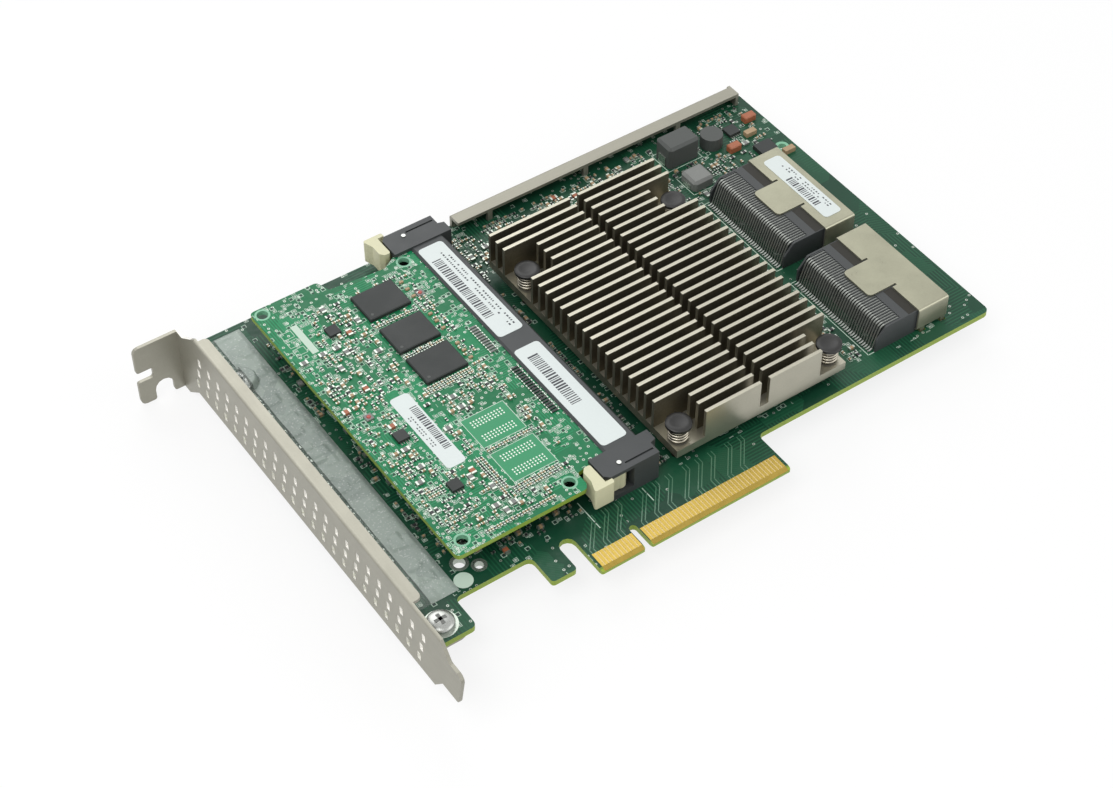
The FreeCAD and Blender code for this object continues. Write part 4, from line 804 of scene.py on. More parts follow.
def fill_field(bm, printed, rng, area, z, keep_out, density, below=False, tallest=1.0):
    """Rows of small parts over an area, with printed outlines round some of them."""
    x0, y0, x1, y1 = area
    pitch = sizes().chip_pitch
    for row in range(int((y1 - y0) / pitch)):
        turned = rng.random() < 0.5
        for column in range(int((x1 - x0) / pitch)):
            if rng.random() < TURN_SHARE:
                turned = not turned
            # a slow wave crowds the rows and thins them out
            wave = math.sin(x0 * 900.0 + column * 0.55) * math.cos(y0 * 700.0 + row * 0.43)
            if rng.random() > density * (0.72 + 0.5 * wave):
                continue
            kind = pick_kind(rng)
            if kind[2] > tallest:
                continue
            x = x0 + (column + 0.5) * pitch
            y = y0 + (row + 0.5) * pitch
            half = (kind[0] * MM / 2, kind[1] * MM / 2)
            if turned:
                half = (half[1], half[0])
            box = around(x, y, *half)
            if not clear_of(box, keep_out):
                continue
            keep_out.append(box)
            add_chip_part(bm, x, y, z, kind, turned, below)
            if printed is not None and rng.random() < OUTLINE_SHARE:
                margin = 0.16 * MM
                box = around(x, y, half[0] + margin, half[1] + margin)
                add_outline(printed, box, z, 0.1 * MM)


# ---- Operators
class CardOperator:
    """What the card's operators share."""
    bl_options = {"REGISTER", "UNDO"}


class CARD_OT_finishes(CardOperator, Operator):
    """Give every kept piece of the frame its material"""
    bl_idname = "card.finishes"
    bl_label = "Finish the Frame"

    def execute(self, context):
        build_finishes()
        for part in frame["record"]["subparts"]:
            dress(part["node"], part["material_slot"])
        return {"FINISHED"}


class CARD_OT_stage(CardOperator, Operator):
    """Set the pale floor, the soft light and the camera"""
    bl_idname = "card.stage"
    bl_label = "Stage"

    floor_reach = 4.0
    camera_place = (-0.1992, -0.2509, 0.3901)
    camera_aim = (0.3901, 0.5611, -0.7301)
    # lamp: place, width, power
    lamps = {
        "key_light": ((-0.55, -0.1, 0.85), 0.7, 5.4),
        "fill_light": ((0.65, -0.65, 0.6), 0.8, 2.9),
        "back_light": ((0.2, 0.8, 0.7), 0.7, 3.2),
    }

    def execute(self, context):
        scene = context.scene
        middle = (CAD_LOW + CAD_HIGH) / 2
        bm = bmesh.new()
        place = Matrix.Translation((middle.x, middle.y, CAD_LOW.z - 0.2 * MM))
        bmesh.ops.create_grid(bm, x_segments=1, y_segments=1, size=self.floor_reach, matrix=place)
        link_mesh(bm, "floor", self.pale_floor())
        self.sky(scene)
        for name, (place, width, power) in self.lamps.items():
            light = bpy.data.lights.new(name, "AREA")
            light.shape = "SQUARE"
            light.size = width
            light.energy = power
            self.seat(name, light, place, middle - Vector(place))
        camera = bpy.data.cameras.new("camera")
        camera.lens = sizes().lens
        camera.sensor_width = 36.0
        camera.clip_start = 0.01
        scene.camera = self.seat("camera", camera, self.camera_place, Vector(self.camera_aim))
        scene.view_settings.view_transform = "Standard"
        return {"FINISHED"}

    def seat(self, name, data, place, aim):
        """Puts a lamp or the camera in its place, looking along an aim."""
        made = link(name, data)
        made.location = place
        made.rotation_euler = aim.to_track_quat("-Z", "Y").to_euler()
        return made

    def pale_floor(self):
        """A glow where it is seen, mixed with a matt white that takes the card's shadow."""
        made = Finish("Pale_Floor")
        made.surface({"Base Color": (0.9, 0.9, 0.9), "Roughness": 0.9, "Specular IOR Level": 0.0})
        glow = made.read("ShaderNodeEmission", {"Color": WHITE, "Strength": 1.0})["Emission"]
        mix = made.read("ShaderNodeMixShader", {0: made.backdrop_seen() * 0.82,
                                                1: Reading(made, made.shader.outputs[0]), 2: glow})
        made.feed(mix["Shader"], made.tree.nodes["Material Output"].inputs["Surface"])
        return made.material

    def sky(self, scene):
        """White where it is seen, and half as strong as light."""
        scene.world = bpy.data.worlds.new("sky")
        scene.world.use_nodes = True
        nodes = Tree(scene.world.node_tree)
        back = nodes.tree.nodes["Background"].inputs
        nodes.feed(WHITE, back["Color"])
        nodes.feed(nodes.backdrop_seen() * 0.5 + 0.5, back["Strength"])


class CARD_OT_screws(CardOperator, Operator):
    """Turn the two bracket screws with rounded heads and a flat grey cross of painted shade for the
    cross recess
    """
    bl_idname = "card.screws"
    bl_label = "Bracket Screws"

    def execute(self, context):
        crown_height = 0.95 * MM
        recess = 0.3 * MM
        socket_radius = 0.55 * MM
        arm, arm_half, arm_depth = 1.45 * MM, 0.42 * MM, 0.04 * MM
        for name in SCREWS:
            centre, r, foot, top = upright(name)
            shank = r * 0.47
            crown = [(r * math.cos(a), top - crown_height + crown_height * math.sin(a))
                     for a in map(math.radians, range(0, 75, 12))]
            profile = [(0.0, foot), (shank, foot), (shank, 0.0), (r, 0.0), *crown,
                       (crown[-1][0] * 0.3, top), (socket_radius, top - recess),
                       (0.0, top - recess)]
            bm = bmesh.new()
            add_lathe(bm, centre, profile)
            # A flat grey cross on the crown: painted shade standing for the cross recess
            for turned in (False, True):
                add_tab(bm, *centre, top - arm_depth, 2 * arm, 2 * arm_half, arm_depth, turned, 1)
            finish_piece(bm, name + "_turned", ("screw_steel", "choke_grey"),
                         name, smooth=40)
        return {"FINISHED"}


class CARD_OT_push_pins(CardOperator, Operator):
    """Turn the four push pins with domed caps"""
    bl_idname = "card.push_pins"
    bl_label = "Push Pins"

    def execute(self, context):
        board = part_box("main_board")[0].z
        tip, barb, shaft = 0.85 * MM, 1.9 * MM, 1.19 * MM
        lip, crease, dish = 0.25 * MM, 0.06 * MM, 0.12 * MM
        for pin in PINS:
            name = "push_pin_%d" % pin
            centre, r, foot, top = upright(name)
            cap = upright("push_pin_spring_%d" % pin)[3]
            profile = [(0.0, foot), (tip, foot), (barb, board), (shaft, board), (shaft, cap),
                       (r - lip, cap), (r, cap + lip), (r, top - lip), (r - lip, top - crease),
                       (r * 0.62, top), (r * 0.5, top - dish), (0.0, top - dish)]
            bm = bmesh.new()
            add_lathe(bm, centre, profile)
            finish_piece(bm, name + "_turned", ("pin_black",), name, smooth=38)
        return {"FINISHED"}


class CARD_OT_springs(CardOperator, Operator):
    """Wind the coil under the cap of each push pin"""
    bl_idname = "card.springs"
    bl_label = "Push-Pin Springs"

    steps_per_turn = 26

    def execute(self, context):
        wire = sizes().coil_wire / 2
        turns = sizes().coil_turns
        steps = self.steps_per_turn * turns
        for pin in PINS:
            name = "push_pin_spring_%d" % pin
            (x, y), radius, foot, top = upright(name)
            rise = top - foot - 2 * wire
            start = Matrix.Translation((x + radius - wire, y, foot + wire))
            bm = bmesh.new()
            ring = bmesh.ops.create_circle(bm, segments=10, radius=wire, cap_ends=True,
                                           matrix=start @ Matrix.Rotation(math.pi / 2, 4, "X"))
            faces = list({face for vert in ring["verts"] for face in vert.link_faces})
            bmesh.ops.spin(bm, geom=faces, cent=(x, y, 0.0), axis=VERTICAL,
                           dvec=(0.0, 0.0, rise / steps), angle=2 * math.pi * turns, steps=steps)
            finish_piece(bm, name + "_coil", ("spring_steel",), name, smooth=60)
        return {"FINISHED"}


class CARD_OT_combs(CardOperator, Operator):
    """Bend the contact springs of the cable connectors over the housing back"""
    bl_idname = "card.combs"
    bl_label = "Connector Contacts"

    count = 36
    width = 0.38 * MM
    sheet = 0.2 * MM
    bend_radius = 1.5 * MM
    bend_steps = 6
    lean = math.radians(62.0)
    toe_length = 0.75 * MM
    toe_bend = 0.55 * MM

    def execute(self, context):
        for port in PORTS:
            low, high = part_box("sas_contacts_%d" % port)
            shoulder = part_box("sas_housing_%d" % port)[0].x + 2.8 * MM
            pitch = (high.y - low.y - self.width) / (self.count - 1)
            self.comb(port, low, high, shoulder, pitch)
            self.ribs(port, low, high, shoulder, pitch)
        return {"FINISHED"}

    def path(self, low, high, shoulder):
        """Middle line of the first contact, from the mouth down to the board."""
        y = low.y + self.width / 2
        top = high.z - self.sheet / 2
        start = shoulder + 0.2 * MM
        centre = Vector((start, y, top - self.bend_radius))
        points = [Vector((high.x, y, top)), Vector((start, y, top))]
        for step in range(1, self.bend_steps + 1):
            a = self.lean * step / self.bend_steps
            points.append(centre + Vector((-math.sin(a), 0.0, math.cos(a))) * self.bend_radius)
        toe = low.x + self.toe_length
        foot = Vector((toe + self.toe_bend, y, self.toe_bend * 0.6 + self.sheet / 2))
        sole = self.sheet / 2 + 0.02 * MM
        points.append(points[-1].lerp(foot, 0.5) + Vector((-0.12 * MM, 0.0, -0.05 * MM)))
        return points + [foot, Vector((toe, y, sole)), Vector((low.x, y, sole))]

    def comb(self, port, low, high, shoulder, pitch):
        """One strip of sheet along the path, thickened and repeated."""
        bm = bmesh.new()
        points = self.path(low, high, shoulder)
        across = Vector((0.0, self.width / 2, 0.0))
        verts = [bm.verts.new(points[0] - across), bm.verts.new(points[0] + across)]
        edge = bm.edges.new(verts)
        for here, there in zip(points, points[1:]):
            made = bmesh.ops.extrude_edge_only(bm, edges=[edge])["geom"]
            moved = corners(made)
            bmesh.ops.translate(bm, verts=moved, vec=there - here)
            edge = next(item for item in made if isinstance(item, bmesh.types.BMEdge)
                        and set(item.verts) == set(moved))
        bmesh.ops.recalc_face_normals(bm, faces=bm.faces)
        bmesh.ops.solidify(bm, geom=all_of(bm), thickness=self.sheet)
        strip = all_of(bm)
        lowest = min(vert.co.z for vert in bm.verts)
        bmesh.ops.translate(bm, verts=bm.verts, vec=(0.0, 0.0, -lowest))
        highest = max(vert.co.z for vert in bm.verts)
        if highest > high.z:
            bmesh.ops.scale(bm, verts=bm.verts, vec=(1.0, 1.0, high.z / highest))
        for i in range(1, self.count):
            copied = bmesh.ops.duplicate(bm, geom=strip)["geom"]
            bmesh.ops.translate(bm, verts=corners(copied), vec=(0.0, pitch * i, 0.0))
        finish_piece(bm, "sas_comb_%d" % port, ("contact_tin",),
                     "sas_contacts_%d" % port, smooth=35)

    def ribs(self, port, low, high, shoulder, pitch):
        """Ribs of the housing between the contacts, and flat dark boxes of painted shade beside the
        shell.
        """
        house = spot("sas_housing_%d" % port)
        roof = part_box("sas_housing_%d" % port)[1].z
        shell = spot("sas_shell_%d" % port)
        wall = 0.5 * MM
        y_low, y_high = house[1] + wall, house[3] - wall
        half = (pitch - self.width - 0.12 * MM) / 2
        bm = bmesh.new()
        for i in range(self.count + 1):
            y = low.y + self.width / 2 + (i - 0.5) * pitch
            if y - half >= y_low and y + half <= y_high:
                add_box(bm, (shoulder + 0.4 * MM, y - half, roof - 0.45 * MM),
                        (high.x + 0.1 * MM, y + half, roof - 0.02 * MM))
        middle = (shell[1] + shell[3]) / 2
        shell_half = 5.3 * MM
        # Flat dark boxes on the housing beside the shell: painted shade of the gap between housing
        # and shell
        for y0, y1 in ((y_low, middle - shell_half), (middle + shell_half, y_high)):
            add_box(bm, (house[2] - 4.6 * MM, y0, roof - 0.1 * MM),
                    (house[2] - 2.1 * MM, y1, roof + PRINT_LIFT), 1)
        finish_piece(bm, "sas_ribs_%d" % port, ("socket_black", "dark_recess"))


class CARD_OT_film(CardOperator, Operator):
    """Form the hazy film over the parts beside the bracket"""
    bl_idname = "card.film"
    bl_label = "Insulating Film"

    columns, rows = 34, 260
    lumps = 90
    height = 0.58 * MM          # over the small parts
    tallest = 1.7 * MM          # away from the screw
    margin = 0.9 * MM           # over which it rises from its edges
    thickness = 0.04 * MM

    def execute(self, context):
        low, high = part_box("insulating_film")
        centre, radius, _, _ = upright("bracket_screw_upper")
        heart = Vector(centre)
        dome = radius + 0.85 * MM
        bm = bmesh.new()
        place = Matrix.Translation(((low.x + high.x) / 2, (low.y + high.y) / 2, 0.0))
        place = place @ Matrix.Diagonal((high.x - low.x, high.y - low.y, 1.0, 1.0))
        bmesh.ops.create_grid(bm, x_segments=self.columns, y_segments=self.rows, size=0.5,
                              matrix=place)
        rng = random.Random(11)
        lumps = [(rng.uniform(low.x, high.x), rng.uniform(low.y, high.y),
                  rng.uniform(0.8, 2.8) * MM, rng.uniform(0.6, 2.6) * MM,
                  rng.uniform(0.05, 0.26) * MM) for _ in range(self.lumps)]
        straight = heart.x + dome * 0.6 if heart.x < low.x else low.x
        for vert in bm.verts:
            x, y = vert.co.x, vert.co.y
            edge = min(x - straight, high.x - x, y - low.y, high.y - y)
            rise = min(1.0, max(0.0, edge / self.margin))
            z = self.height * rise
            for lump_x, lump_y, wide, long, tall in lumps:
                away = max(abs(x - lump_x) / wide, abs(y - lump_y) / long)
                if away < 1.0:
                    z = max(z, (self.height + tall) * min(1.0, (1.0 - away) * 3.5) * rise)
            gap = (Vector((x, y)) - heart).length / dome
            ceiling = self.tallest
            if gap < 1.0:
                z = max(z, (high.z - 0.1 * MM) * min(1.0, (1.0 - gap) * 6.0) ** 0.5)
                ceiling = high.z
            vert.co.z = min(max(z, 0.05 * MM), ceiling)
        bmesh.ops.solidify(bm, geom=all_of(bm), thickness=self.thickness)
        finish_piece(bm, "film_sheet", ("clear_film",), "insulating_film", smooth=50)
        return {"FINISHED"}


class CARD_OT_board_parts(CardOperator, Operator):
    """Solder the small parts on both sides of the main board"""
    bl_idname = "card.board_parts"
    bl_label = "Main Board Parts"

    bare = ("heatsink", "module_socket", "socket_leads", "sas_housing_1", "sas_housing_2",
            "sas_contacts_1", "sas_contacts_2", "sas_shell_1", "sas_shell_2", "stiffener",
            "round_inductor", "upper_latch", "lower_latch", *CHOKES, *SCREWS)

    def execute(self, context):
        rng = random.Random(5)
        low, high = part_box("main_board")
        sink, socket, house, film = (
            spot(name) for name in ("heatsink", "module_socket", "sas_housing_1",
                                    "insulating_film"))
        keep_out = [spot(name, 0.5 * MM) for name in self.bare]
        for name in ("board_capacitors", "tantalum_capacitors", "board_ics"):
            keep_out += solid_spots(name, 0.35 * MM)
        keep_out.append((CAD_LOW.x, CAD_LOW.y, film[0] - 6.0 * MM, CAD_HIGH.y))
        keep_out += [around(x * MM, y * MM, 3.0 * MM, 3.0 * MM) for x, y, _, _ in BOARD_HOLES]
        ceiling = spot("stiffener")[1] - 0.4 * MM
        # area and density of each field
        fields = (
            # between the socket and the heat sink
            ((socket[2] + 0.3 * MM, socket[1], sink[0] - 0.2 * MM, ceiling), 0.95),
            # above the heat sink
            ((socket[2], sink[3] + 0.5 * MM, house[0] - 2.5 * MM, ceiling), 0.85),
            # between the heat sink and the ports
            ((sink[2] + 0.5 * MM, sink[1] + 3.0 * MM, spot("sas_contacts_1")[0] - 1.2 * MM,
              sink[3] + 2.0 * MM), 0.6),
            # above the ports
            ((house[0] - 2.0 * MM, spot("sas_shell_2")[3] + 1.0 * MM, high.x - 3.0 * MM, ceiling),
             0.85),
            # between the film and the socket
            ((film[2] + 1.0 * MM, 16.0 * MM, socket[0] - 2.0 * MM, 108.0 * MM), 0.45),
        )
        bm = bmesh.new()
        printed = bmesh.new()
        for area, density in fields:
            fill_field(bm, printed, rng, area, 0.0, keep_out, density)
        under_film = (film[0] + 3.7 * MM, film[1] + 4.0 * MM, film[0] + 5.0 * MM,
                      film[3] - 4.0 * MM)
        fill_field(bm, printed, rng, under_film, 0.0, keep_out, 0.9, tallest=0.5)
        finish_piece(bm, "board_small_parts", FIELD_FINISHES)
        finish_piece(printed, "board_part_outlines", ("silkscreen",))
        back = bmesh.new()
        under = [spot("push_pin_%d" % pin, 0.6 * MM) for pin in PINS]
        fill_field(back, None, rng, spot("controller_package"), low.z, under, 0.5, below=True)
        finish_piece(back, "board_back_parts", FIELD_FINISHES)
        return {"FINISHED"}


class CARD_OT_module_parts(CardOperator, Operator):
    """Solder the small parts on the memory module"""
    bl_idname = "card.module_parts"
    bl_label = "Module Parts"

    def execute(self, context):
        rng = random.Random(23)
        low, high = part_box("module_board")
        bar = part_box("module_socket")[0].x + SOCKET_BAR
        x0, y0, x1, _ = spot("memory_chip_3")
        keep_out = [spot(name, 0.45 * MM) for name in (*MEMORY_CHIPS, "module_label")]
        keep_out += [spot(name, 0.8 * MM) for name in ("upper_latch", "lower_latch",
                                                       "module_socket")]
        for name in ("module_passives", "module_ics"):
            keep_out += solid_spots(name, 0.3 * MM)
        gap = 0.4 * MM
        keep_out += [(left - gap, bottom - gap, right + gap, top + gap)
                     for left, bottom, right, top in module_footprints()]
        keep_out += [around(x, y, 3.1 * MM, 3.1 * MM) for x, y in module_hole_places()]
        keep_out.append((low.x, high.y - 20.5 * MM, low.x + 8.0 * MM, high.y - 9.0 * MM))
        edge = low.x + 1.6 * MM
        right = bar - SOCKET_BAR - 0.6 * MM
        top = 98.0 * MM
        # area and density of each field
        fields = (
            # left of the memory chips
            ((edge, 62.0 * MM, x0 - 0.8 * MM, top), 0.66),
            # round the memory chips
            ((x0 - 0.6 * MM, y0 - 1.0 * MM, x1 + 4.5 * MM, top), 0.9),
            # left of the bare chip places
            ((edge, 20.0 * MM, -18.5 * MM, 61.0 * MM), 0.7),
            # between the memory chips and the bare chip places
            ((-18.0 * MM, 50.0 * MM, -3.0 * MM, 61.0 * MM), 0.62),
            # below the bare chip places
            ((-21.0 * MM, 19.0 * MM, -4.0 * MM, 26.0 * MM), 0.45),
            # beside the socket
            ((right - 3.2 * MM, 30.0 * MM, right, 92.0 * MM), 0.62),
        )
        bm = bmesh.new()
        printed = bmesh.new()
        self.arrays(bm, bar - 1.6 * MM, 39.0 * MM, 19, DARK, high.z)
        self.arrays(bm, bar - 2.4 * MM, 62.6 * MM, 11, GREY, high.z)
        self.lanes(bm, printed, rng, high.z, keep_out)
        for area, density in fields:
            fill_field(bm, printed, rng, area, high.z, keep_out, density)
        self.test_lamps(bm, high.z)
        finish_piece(bm, "module_small_parts", FIELD_FINISHES)
        finish_piece(printed, "module_part_outlines", ("silkscreen",))
        return {"FINISHED"}

    def arrays(self, bm, x, start, count, body, z):
        """Arrays of resistors or capacitors in a row beside the socket."""
        pitch, end_reach = 0.9 * MM, 0.95 * MM
        for i in range(count):
            y = start + i * pitch
            add_tab(bm, x, y, z, 1.7 * MM, 0.46 * MM, 0.4 * MM, index=body)
            for side in (-1, 1):
                add_tab(bm, x + side * end_reach, y, z, 0.35 * MM, 0.5 * MM, 0.3 * MM, index=TIN)

    def lanes(self, bm, printed, rng, z, keep_out):
        """Close rows of small parts between the chips and along the edges."""
        short, long, margin = 0.24 * MM, 0.46 * MM, 0.1 * MM
        for x0, y0, x1, y1 in MODULE_LANES:
            along_x = x1 > x0
            half = (short, long) if along_x else (long, short)
            taken = []
            for i in range(int(max(x1 - x0, y1 - y0) / LANE_PITCH) + 1):
                x = (x0 + i * LANE_PITCH * along_x) * MM
                y = (y0 + i * LANE_PITCH * (not along_x)) * MM
                kind = rng.choice(LANE_KINDS)
                box = around(x, y, *half)
                if not clear_of(box, keep_out):
                    continue
                taken.append(box)
                add_chip_part(bm, x, y, z, kind, along_x)
                if i % 2 == 0:
                    box = around(x, y, half[0] + margin, half[1] + margin)
                    add_outline(printed, box, z, 0.08 * MM)
            keep_out += taken

    def test_lamps(self, bm, z):
        """Two square lamps with a red lens."""
        side, height = 1.9 * MM, 0.4 * MM
        for x, y in LAMP_PLACES:
            add_tab(bm, x * MM, y * MM, z, side, side, height, index=GREY)
            add_disc(bm, x * MM, y * MM, z + height, 0.55 * MM, 0.42 * MM, 0.2 * MM, 16, RED)


class CARD_OT_prints(CardOperator, Operator):
    """Lay the tracks, pads, plated rings and printed lines on both boards"""
    bl_idname = "card.prints"
    bl_label = "Tracks and Prints"

    def execute(self, context):
        self.rings()
        self.tracks()
        self.footprints()
        self.lines()
        return {"FINISHED"}

    def rings(self):
        """Plated rings round the holes of both boards and under the bracket screws."""
        width = sizes().via_ring
        low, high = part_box("main_board")
        bm = bmesh.new()
        for x, y, hole, index in BOARD_HOLES:
            bore = hole * MM / 2
            add_ring(bm, (x * MM, y * MM), 0.0, bore - 0.06 * MM, bore + width, high.z - low.z,
                     index)
        for name in SCREWS:
            centre, radius, _, _ = upright(name)
            add_ring(bm, centre, 0.0, radius * 0.6, radius + 0.75 * MM)
        finish_piece(bm, "board_rings", ("solder", "ring_green"), smooth=40)
        low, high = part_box("module_board")
        bm = bmesh.new()
        for centre in module_hole_places():
            add_ring(bm, centre, high.z, 1.39 * MM, 1.45 * MM + width * 0.6, high.z - low.z)
        finish_piece(bm, "module_rings", ("ring_green",), smooth=40)

    def tracks(self):
        """Copper from the edge contacts up towards the controller."""
        pads = solid_spots("edge_contacts")
        xs = sorted({round((x0 + x1) / 2, 6) for x0, _, x1, _ in pads})
        top = max(pad[3] for pad in pads)
        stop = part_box("heatsink")[0].y - 0.6 * MM
        bm = bmesh.new()
        for i, x in enumerate(xs):
            if i % 4 > 1:
                continue
            bend = top + (1.2 + 0.5 * (i // 4 % 3)) * MM
            rise = stop - bend - 1.6 * MM
            end = x + rise * 0.8
            if end < xs[-1]:
                add_track(bm, [(x, top), (x, bend), (end, bend + rise), (end, stop)],
                          sizes().trace)
        finish_piece(bm, "board_tracks", ("copper_track",))
        self.gold_edge(pads, top)

    def gold_edge(self, pads, top):
        """Gold down to the bevel below the edge contacts, and bare laminate between them."""
        low = min(pad[1] for pad in pads)
        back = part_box("main_board")[0].z
        under = back - PRINT_LIFT
        # heights of the gold and of the laminate on either face
        faces = (((0.0, PRINT_LIFT), (0.0, PRINT_LIFT / 2)), ((under, back), (under / 2, back)))
        bm = bmesh.new()
        for row in ([pad for pad in pads if pad[2] < 0.0], [pad for pad in pads if pad[0] > 0.0]):
            x0 = min(pad[0] for pad in row)
            x1 = max(pad[2] for pad in row)
            for (g0, g1), (b0, b1) in faces:
                add_box(bm, (x0, 0.04 * MM, g0), (x1, low, g1))
                add_box(bm, (x0, low, b0), (x1, top, b1), 1)
        for vert in bm.verts:
            if vert.co.y < low / 2:
                vert.co.z += BEVEL_DEPTH if vert.co.z < back / 2 else -BEVEL_DEPTH
        finish_piece(bm, "gold_edge", ("contact_gold", "bare_laminate"))

    def footprints(self):
        """Rows of bare pads where no chip is fitted."""
        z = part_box("module_board")[1].z
        pitch = 0.8 * MM
        bm = bmesh.new()
        for box in module_footprints():
            add_outline(bm, box, z, 0.16 * MM)
            add_print(bm, box, z, 2, PRINT_LIFT / 2)
            middle = ((box[0] + box[2]) / 2, (box[1] + box[3]) / 2)
            for side in (-1, 1):
                for row in range(3):
                    y = middle[1] + side * (1.6 * MM + row * pitch)
                    for column in range(-5, 6):
                        add_tab(bm, middle[0] + column * pitch, y, z, 0.34 * MM, 0.42 * MM,
                                PRINT_LIFT, index=1)
        finish_piece(bm, "module_bare_pads", ("silkscreen", "solder", "plain_green"))

    def lines(self):
        """Printed guide lines, frames and a plain disc."""
        bm = bmesh.new()
        for port in PORTS:
            x0, y0, _, y1 = spot("sas_contacts_%d" % port)
            x, y0, y1 = x0 - 0.5 * MM, y0 - 0.8 * MM, y1 + 0.8 * MM
            half = 0.1 * MM
            add_print(bm, (x - half, y0, x + half, y1))
            for y in (y0, y1):
                add_print(bm, (x, y - half, x + 2.0 * MM, y + half))
        for name in CHOKES:
            add_outline(bm, spot(name, 0.55 * MM), 0.0, 0.18 * MM)
        add_disc(bm, -38.6 * MM, 15.2 * MM, 0.0, 2.2 * MM, 2.2 * MM, PRINT_LIFT, 28)
        # two lines above the edge contacts: x, y0, y1 in mm
        for x, y0, y1 in ((-5.9, 10.3, 19.0), (8.5, 10.0, 14.4)):
            add_print(bm, ((x - 0.12) * MM, y0 * MM, (x + 0.12) * MM, y1 * MM))
        low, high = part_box("module_board")
        x = low.x + 5.6 * MM
        for i in range(3):
            box = around(x - 1.9 * MM, high.y - (11.5 + 3.0 * i) * MM, 1.4 * MM, 1.1 * MM)
            add_outline(bm, box, high.z, 0.14 * MM)
        add_print(bm, (x, high.y - 20.0 * MM, x + 1.7 * MM, high.y - 9.5 * MM), high.z)
        finish_piece(bm, "board_prints", ("silkscreen",))


class CARD_OT_labels(CardOperator, Operator):
    """Print plain bars and rules on the labels"""
    bl_idname = "card.labels"
    bl_label = "Label Prints"

    # label: bars from, to across and from, to along it; rules likewise
    shares = {
        "socket_label_upper": ((0.12, 0.48, 0.20, 0.86), (0.62, 0.86, 0.06, 0.9)),
        "socket_label_lower": ((0.24, 0.64, 0.40, 0.90), None),
        "module_label": ((0.52, 0.9, 0.22, 0.82), (0.15, 0.36, 0.3, 0.72)),
        "port_label": ((0.12, 0.5, 0.2, 0.66), (0.6, 0.85, 0.12, 0.84)),
    }

    def execute(self, context):
        rng = random.Random(3)
        for name, prints in self.shares.items():
            low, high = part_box(name)
            size = high - low
            bm = bmesh.new()
            for share, print_rows in zip(prints, (self.bars, self.rules)):
                if share:
                    print_rows(bm, rng, high.z, low.x + size.x * share[0],
                               low.x + size.x * share[1], low.y + size.y * share[2],
                               low.y + size.y * share[3])
            finish_piece(bm, name + "_print", ("label_ink",))
        return {"FINISHED"}

    def bars(self, bm, rng, z, x0, x1, y, stop):
        """Bars of three widths across the label."""
        widest = sizes().barcode_bar
        while y < stop:
            bar = rng.choice((0.45, 0.45, 0.6, 1.0)) * widest
            add_print(bm, (x0, y, x1, y + bar), z)
            y += bar + rng.choice((0.6, 0.6, 0.9)) * widest

    def rules(self, bm, rng, z, x0, x1, y, stop):
        """Two rows of short rules along the label."""
        rows = 2
        deep = (x1 - x0) / (rows * 2 - 1)
        while y < stop:
            long = rng.uniform(0.35, 0.9) * MM
            for row in range(rows):
                if rng.random() < 0.25:
                    continue
                x = x0 + 2 * row * deep
                add_print(bm, (x, y, x + deep * 0.8, y + long * 0.7), z)
            y += long + 0.25 * MM


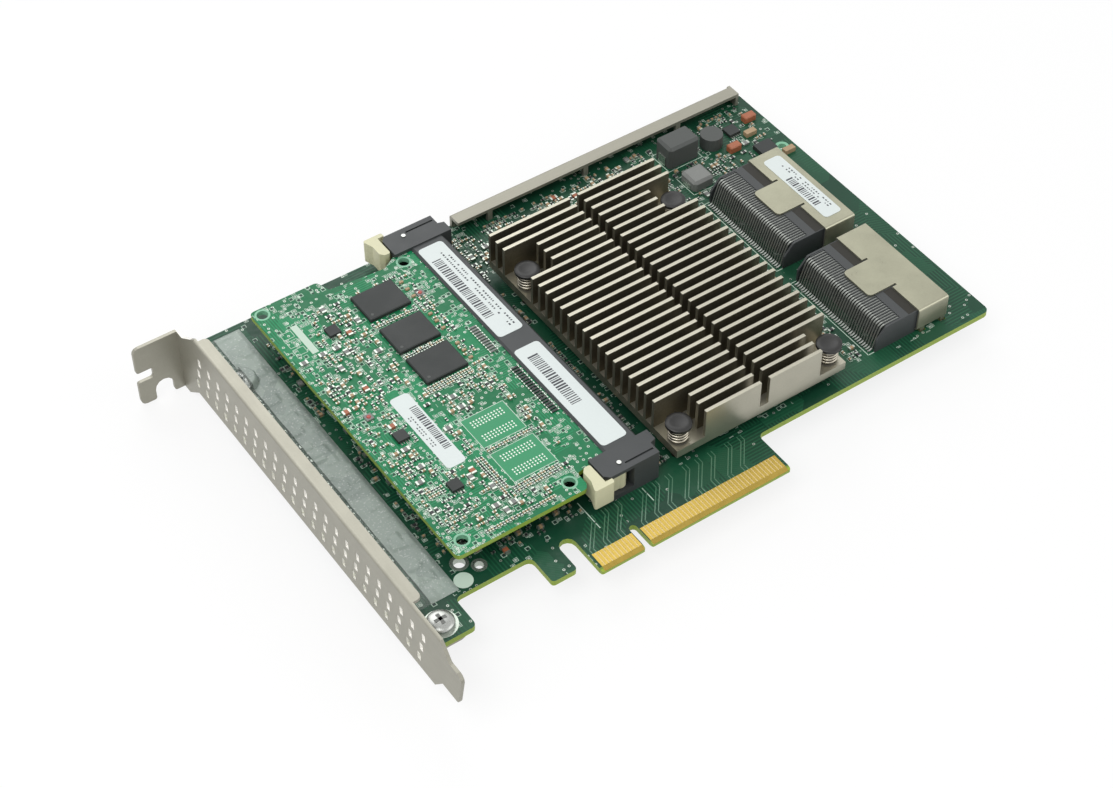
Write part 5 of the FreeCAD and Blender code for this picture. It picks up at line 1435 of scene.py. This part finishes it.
class CARD_OT_chip_marks(CardOperator, Operator):
    """Add leads to the small chips and a first-pin dot to the memory chips"""
    bl_idname = "card.chip_marks"
    bl_label = "Chip Leads and Dots"

    def execute(self, context):
        bm = bmesh.new()
        radius, inset = 0.4 * MM, 1.3 * MM
        for name in MEMORY_CHIPS:
            low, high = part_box(name)
            add_disc(bm, low.x + inset, low.y + inset, high.z, radius, radius, PRINT_LIFT, 16)
        finish_piece(bm, "memory_chip_dots", ("choke_dark",))
        bm = bmesh.new()
        pitch = 0.65 * MM
        for name, z in (("board_ics", 0.0), ("module_ics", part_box("module_board")[1].z)):
            for x0, y0, x1, y1 in solid_spots(name):
                count = int((x1 - x0) / pitch)
                for i in range(count):
                    x = (x0 + x1) / 2 + (i - (count - 1) / 2) * pitch
                    for y in (y0 - 0.3 * MM, y1 + 0.3 * MM):
                        add_tab(bm, x, y, z, 0.3 * MM, 0.65 * MM, 0.18 * MM)
        finish_piece(bm, "chip_leads", ("solder",))
        return {"FINISHED"}


class CARD_OT_inductors(CardOperator, Operator):
    """Fit the terminals of the inductors"""
    bl_idname = "card.inductors"
    bl_label = "Inductors"

    def execute(self, context):
        bm = bmesh.new()
        reach = 0.25 * MM
        for name in CHOKES:
            low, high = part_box(name)
            middle = (low.y + high.y) / 2
            half = (high.y - low.y) * 0.22
            height = (high.z - low.z) * 0.45
            for x0, x1 in ((low.x - reach, low.x), (high.x, high.x + reach)):
                add_print(bm, (x0, middle - half, x1, middle + half), lift=height)
        finish_piece(bm, "inductor_terminals", ("solder",))
        return {"FINISHED"}


# ---- Panel
# In the order in which they run; the stage comes last
OPERATORS = (
    CARD_OT_finishes, CARD_OT_screws, CARD_OT_push_pins, CARD_OT_springs, CARD_OT_combs,
    CARD_OT_film, CARD_OT_board_parts, CARD_OT_module_parts, CARD_OT_prints, CARD_OT_labels,
    CARD_OT_chip_marks, CARD_OT_inductors, CARD_OT_stage,
)


class CARD_PT_tools(Panel):
    """Lists the card's steps and settings"""
    bl_idname = "CARD_PT_tools"
    bl_label = "Controller Card"
    bl_space_type = "VIEW_3D"
    bl_region_type = "UI"
    bl_category = "Card"

    def draw(self, context):
        layout = self.layout
        for each in OPERATORS:
            layout.operator(each.bl_idname, text=each.bl_label)
        for settings in (context.scene.card_sizes, context.scene.card_colours):
            box = layout.box()
            for key in settings.bl_rna.properties.keys():
                if key not in {"rna_type", "name"}:
                    box.prop(settings, key)


CLASSES = (CardColours, CardSizes, *OPERATORS, CARD_PT_tools)


def register():
    for each in CLASSES:
        bpy.utils.register_class(each)
    bpy.types.Scene.card_colours = PointerProperty(type=CardColours)
    bpy.types.Scene.card_sizes = PointerProperty(type=CardSizes)


def unregister():
    del bpy.types.Scene.card_sizes
    del bpy.types.Scene.card_colours
    for each in reversed(CLASSES):
        bpy.utils.unregister_class(each)


def main():
    register()
    for each in OPERATORS:
        getattr(bpy.ops.card, each.bl_idname.partition(".")[2])()


if __name__ == "__main__":
    main()
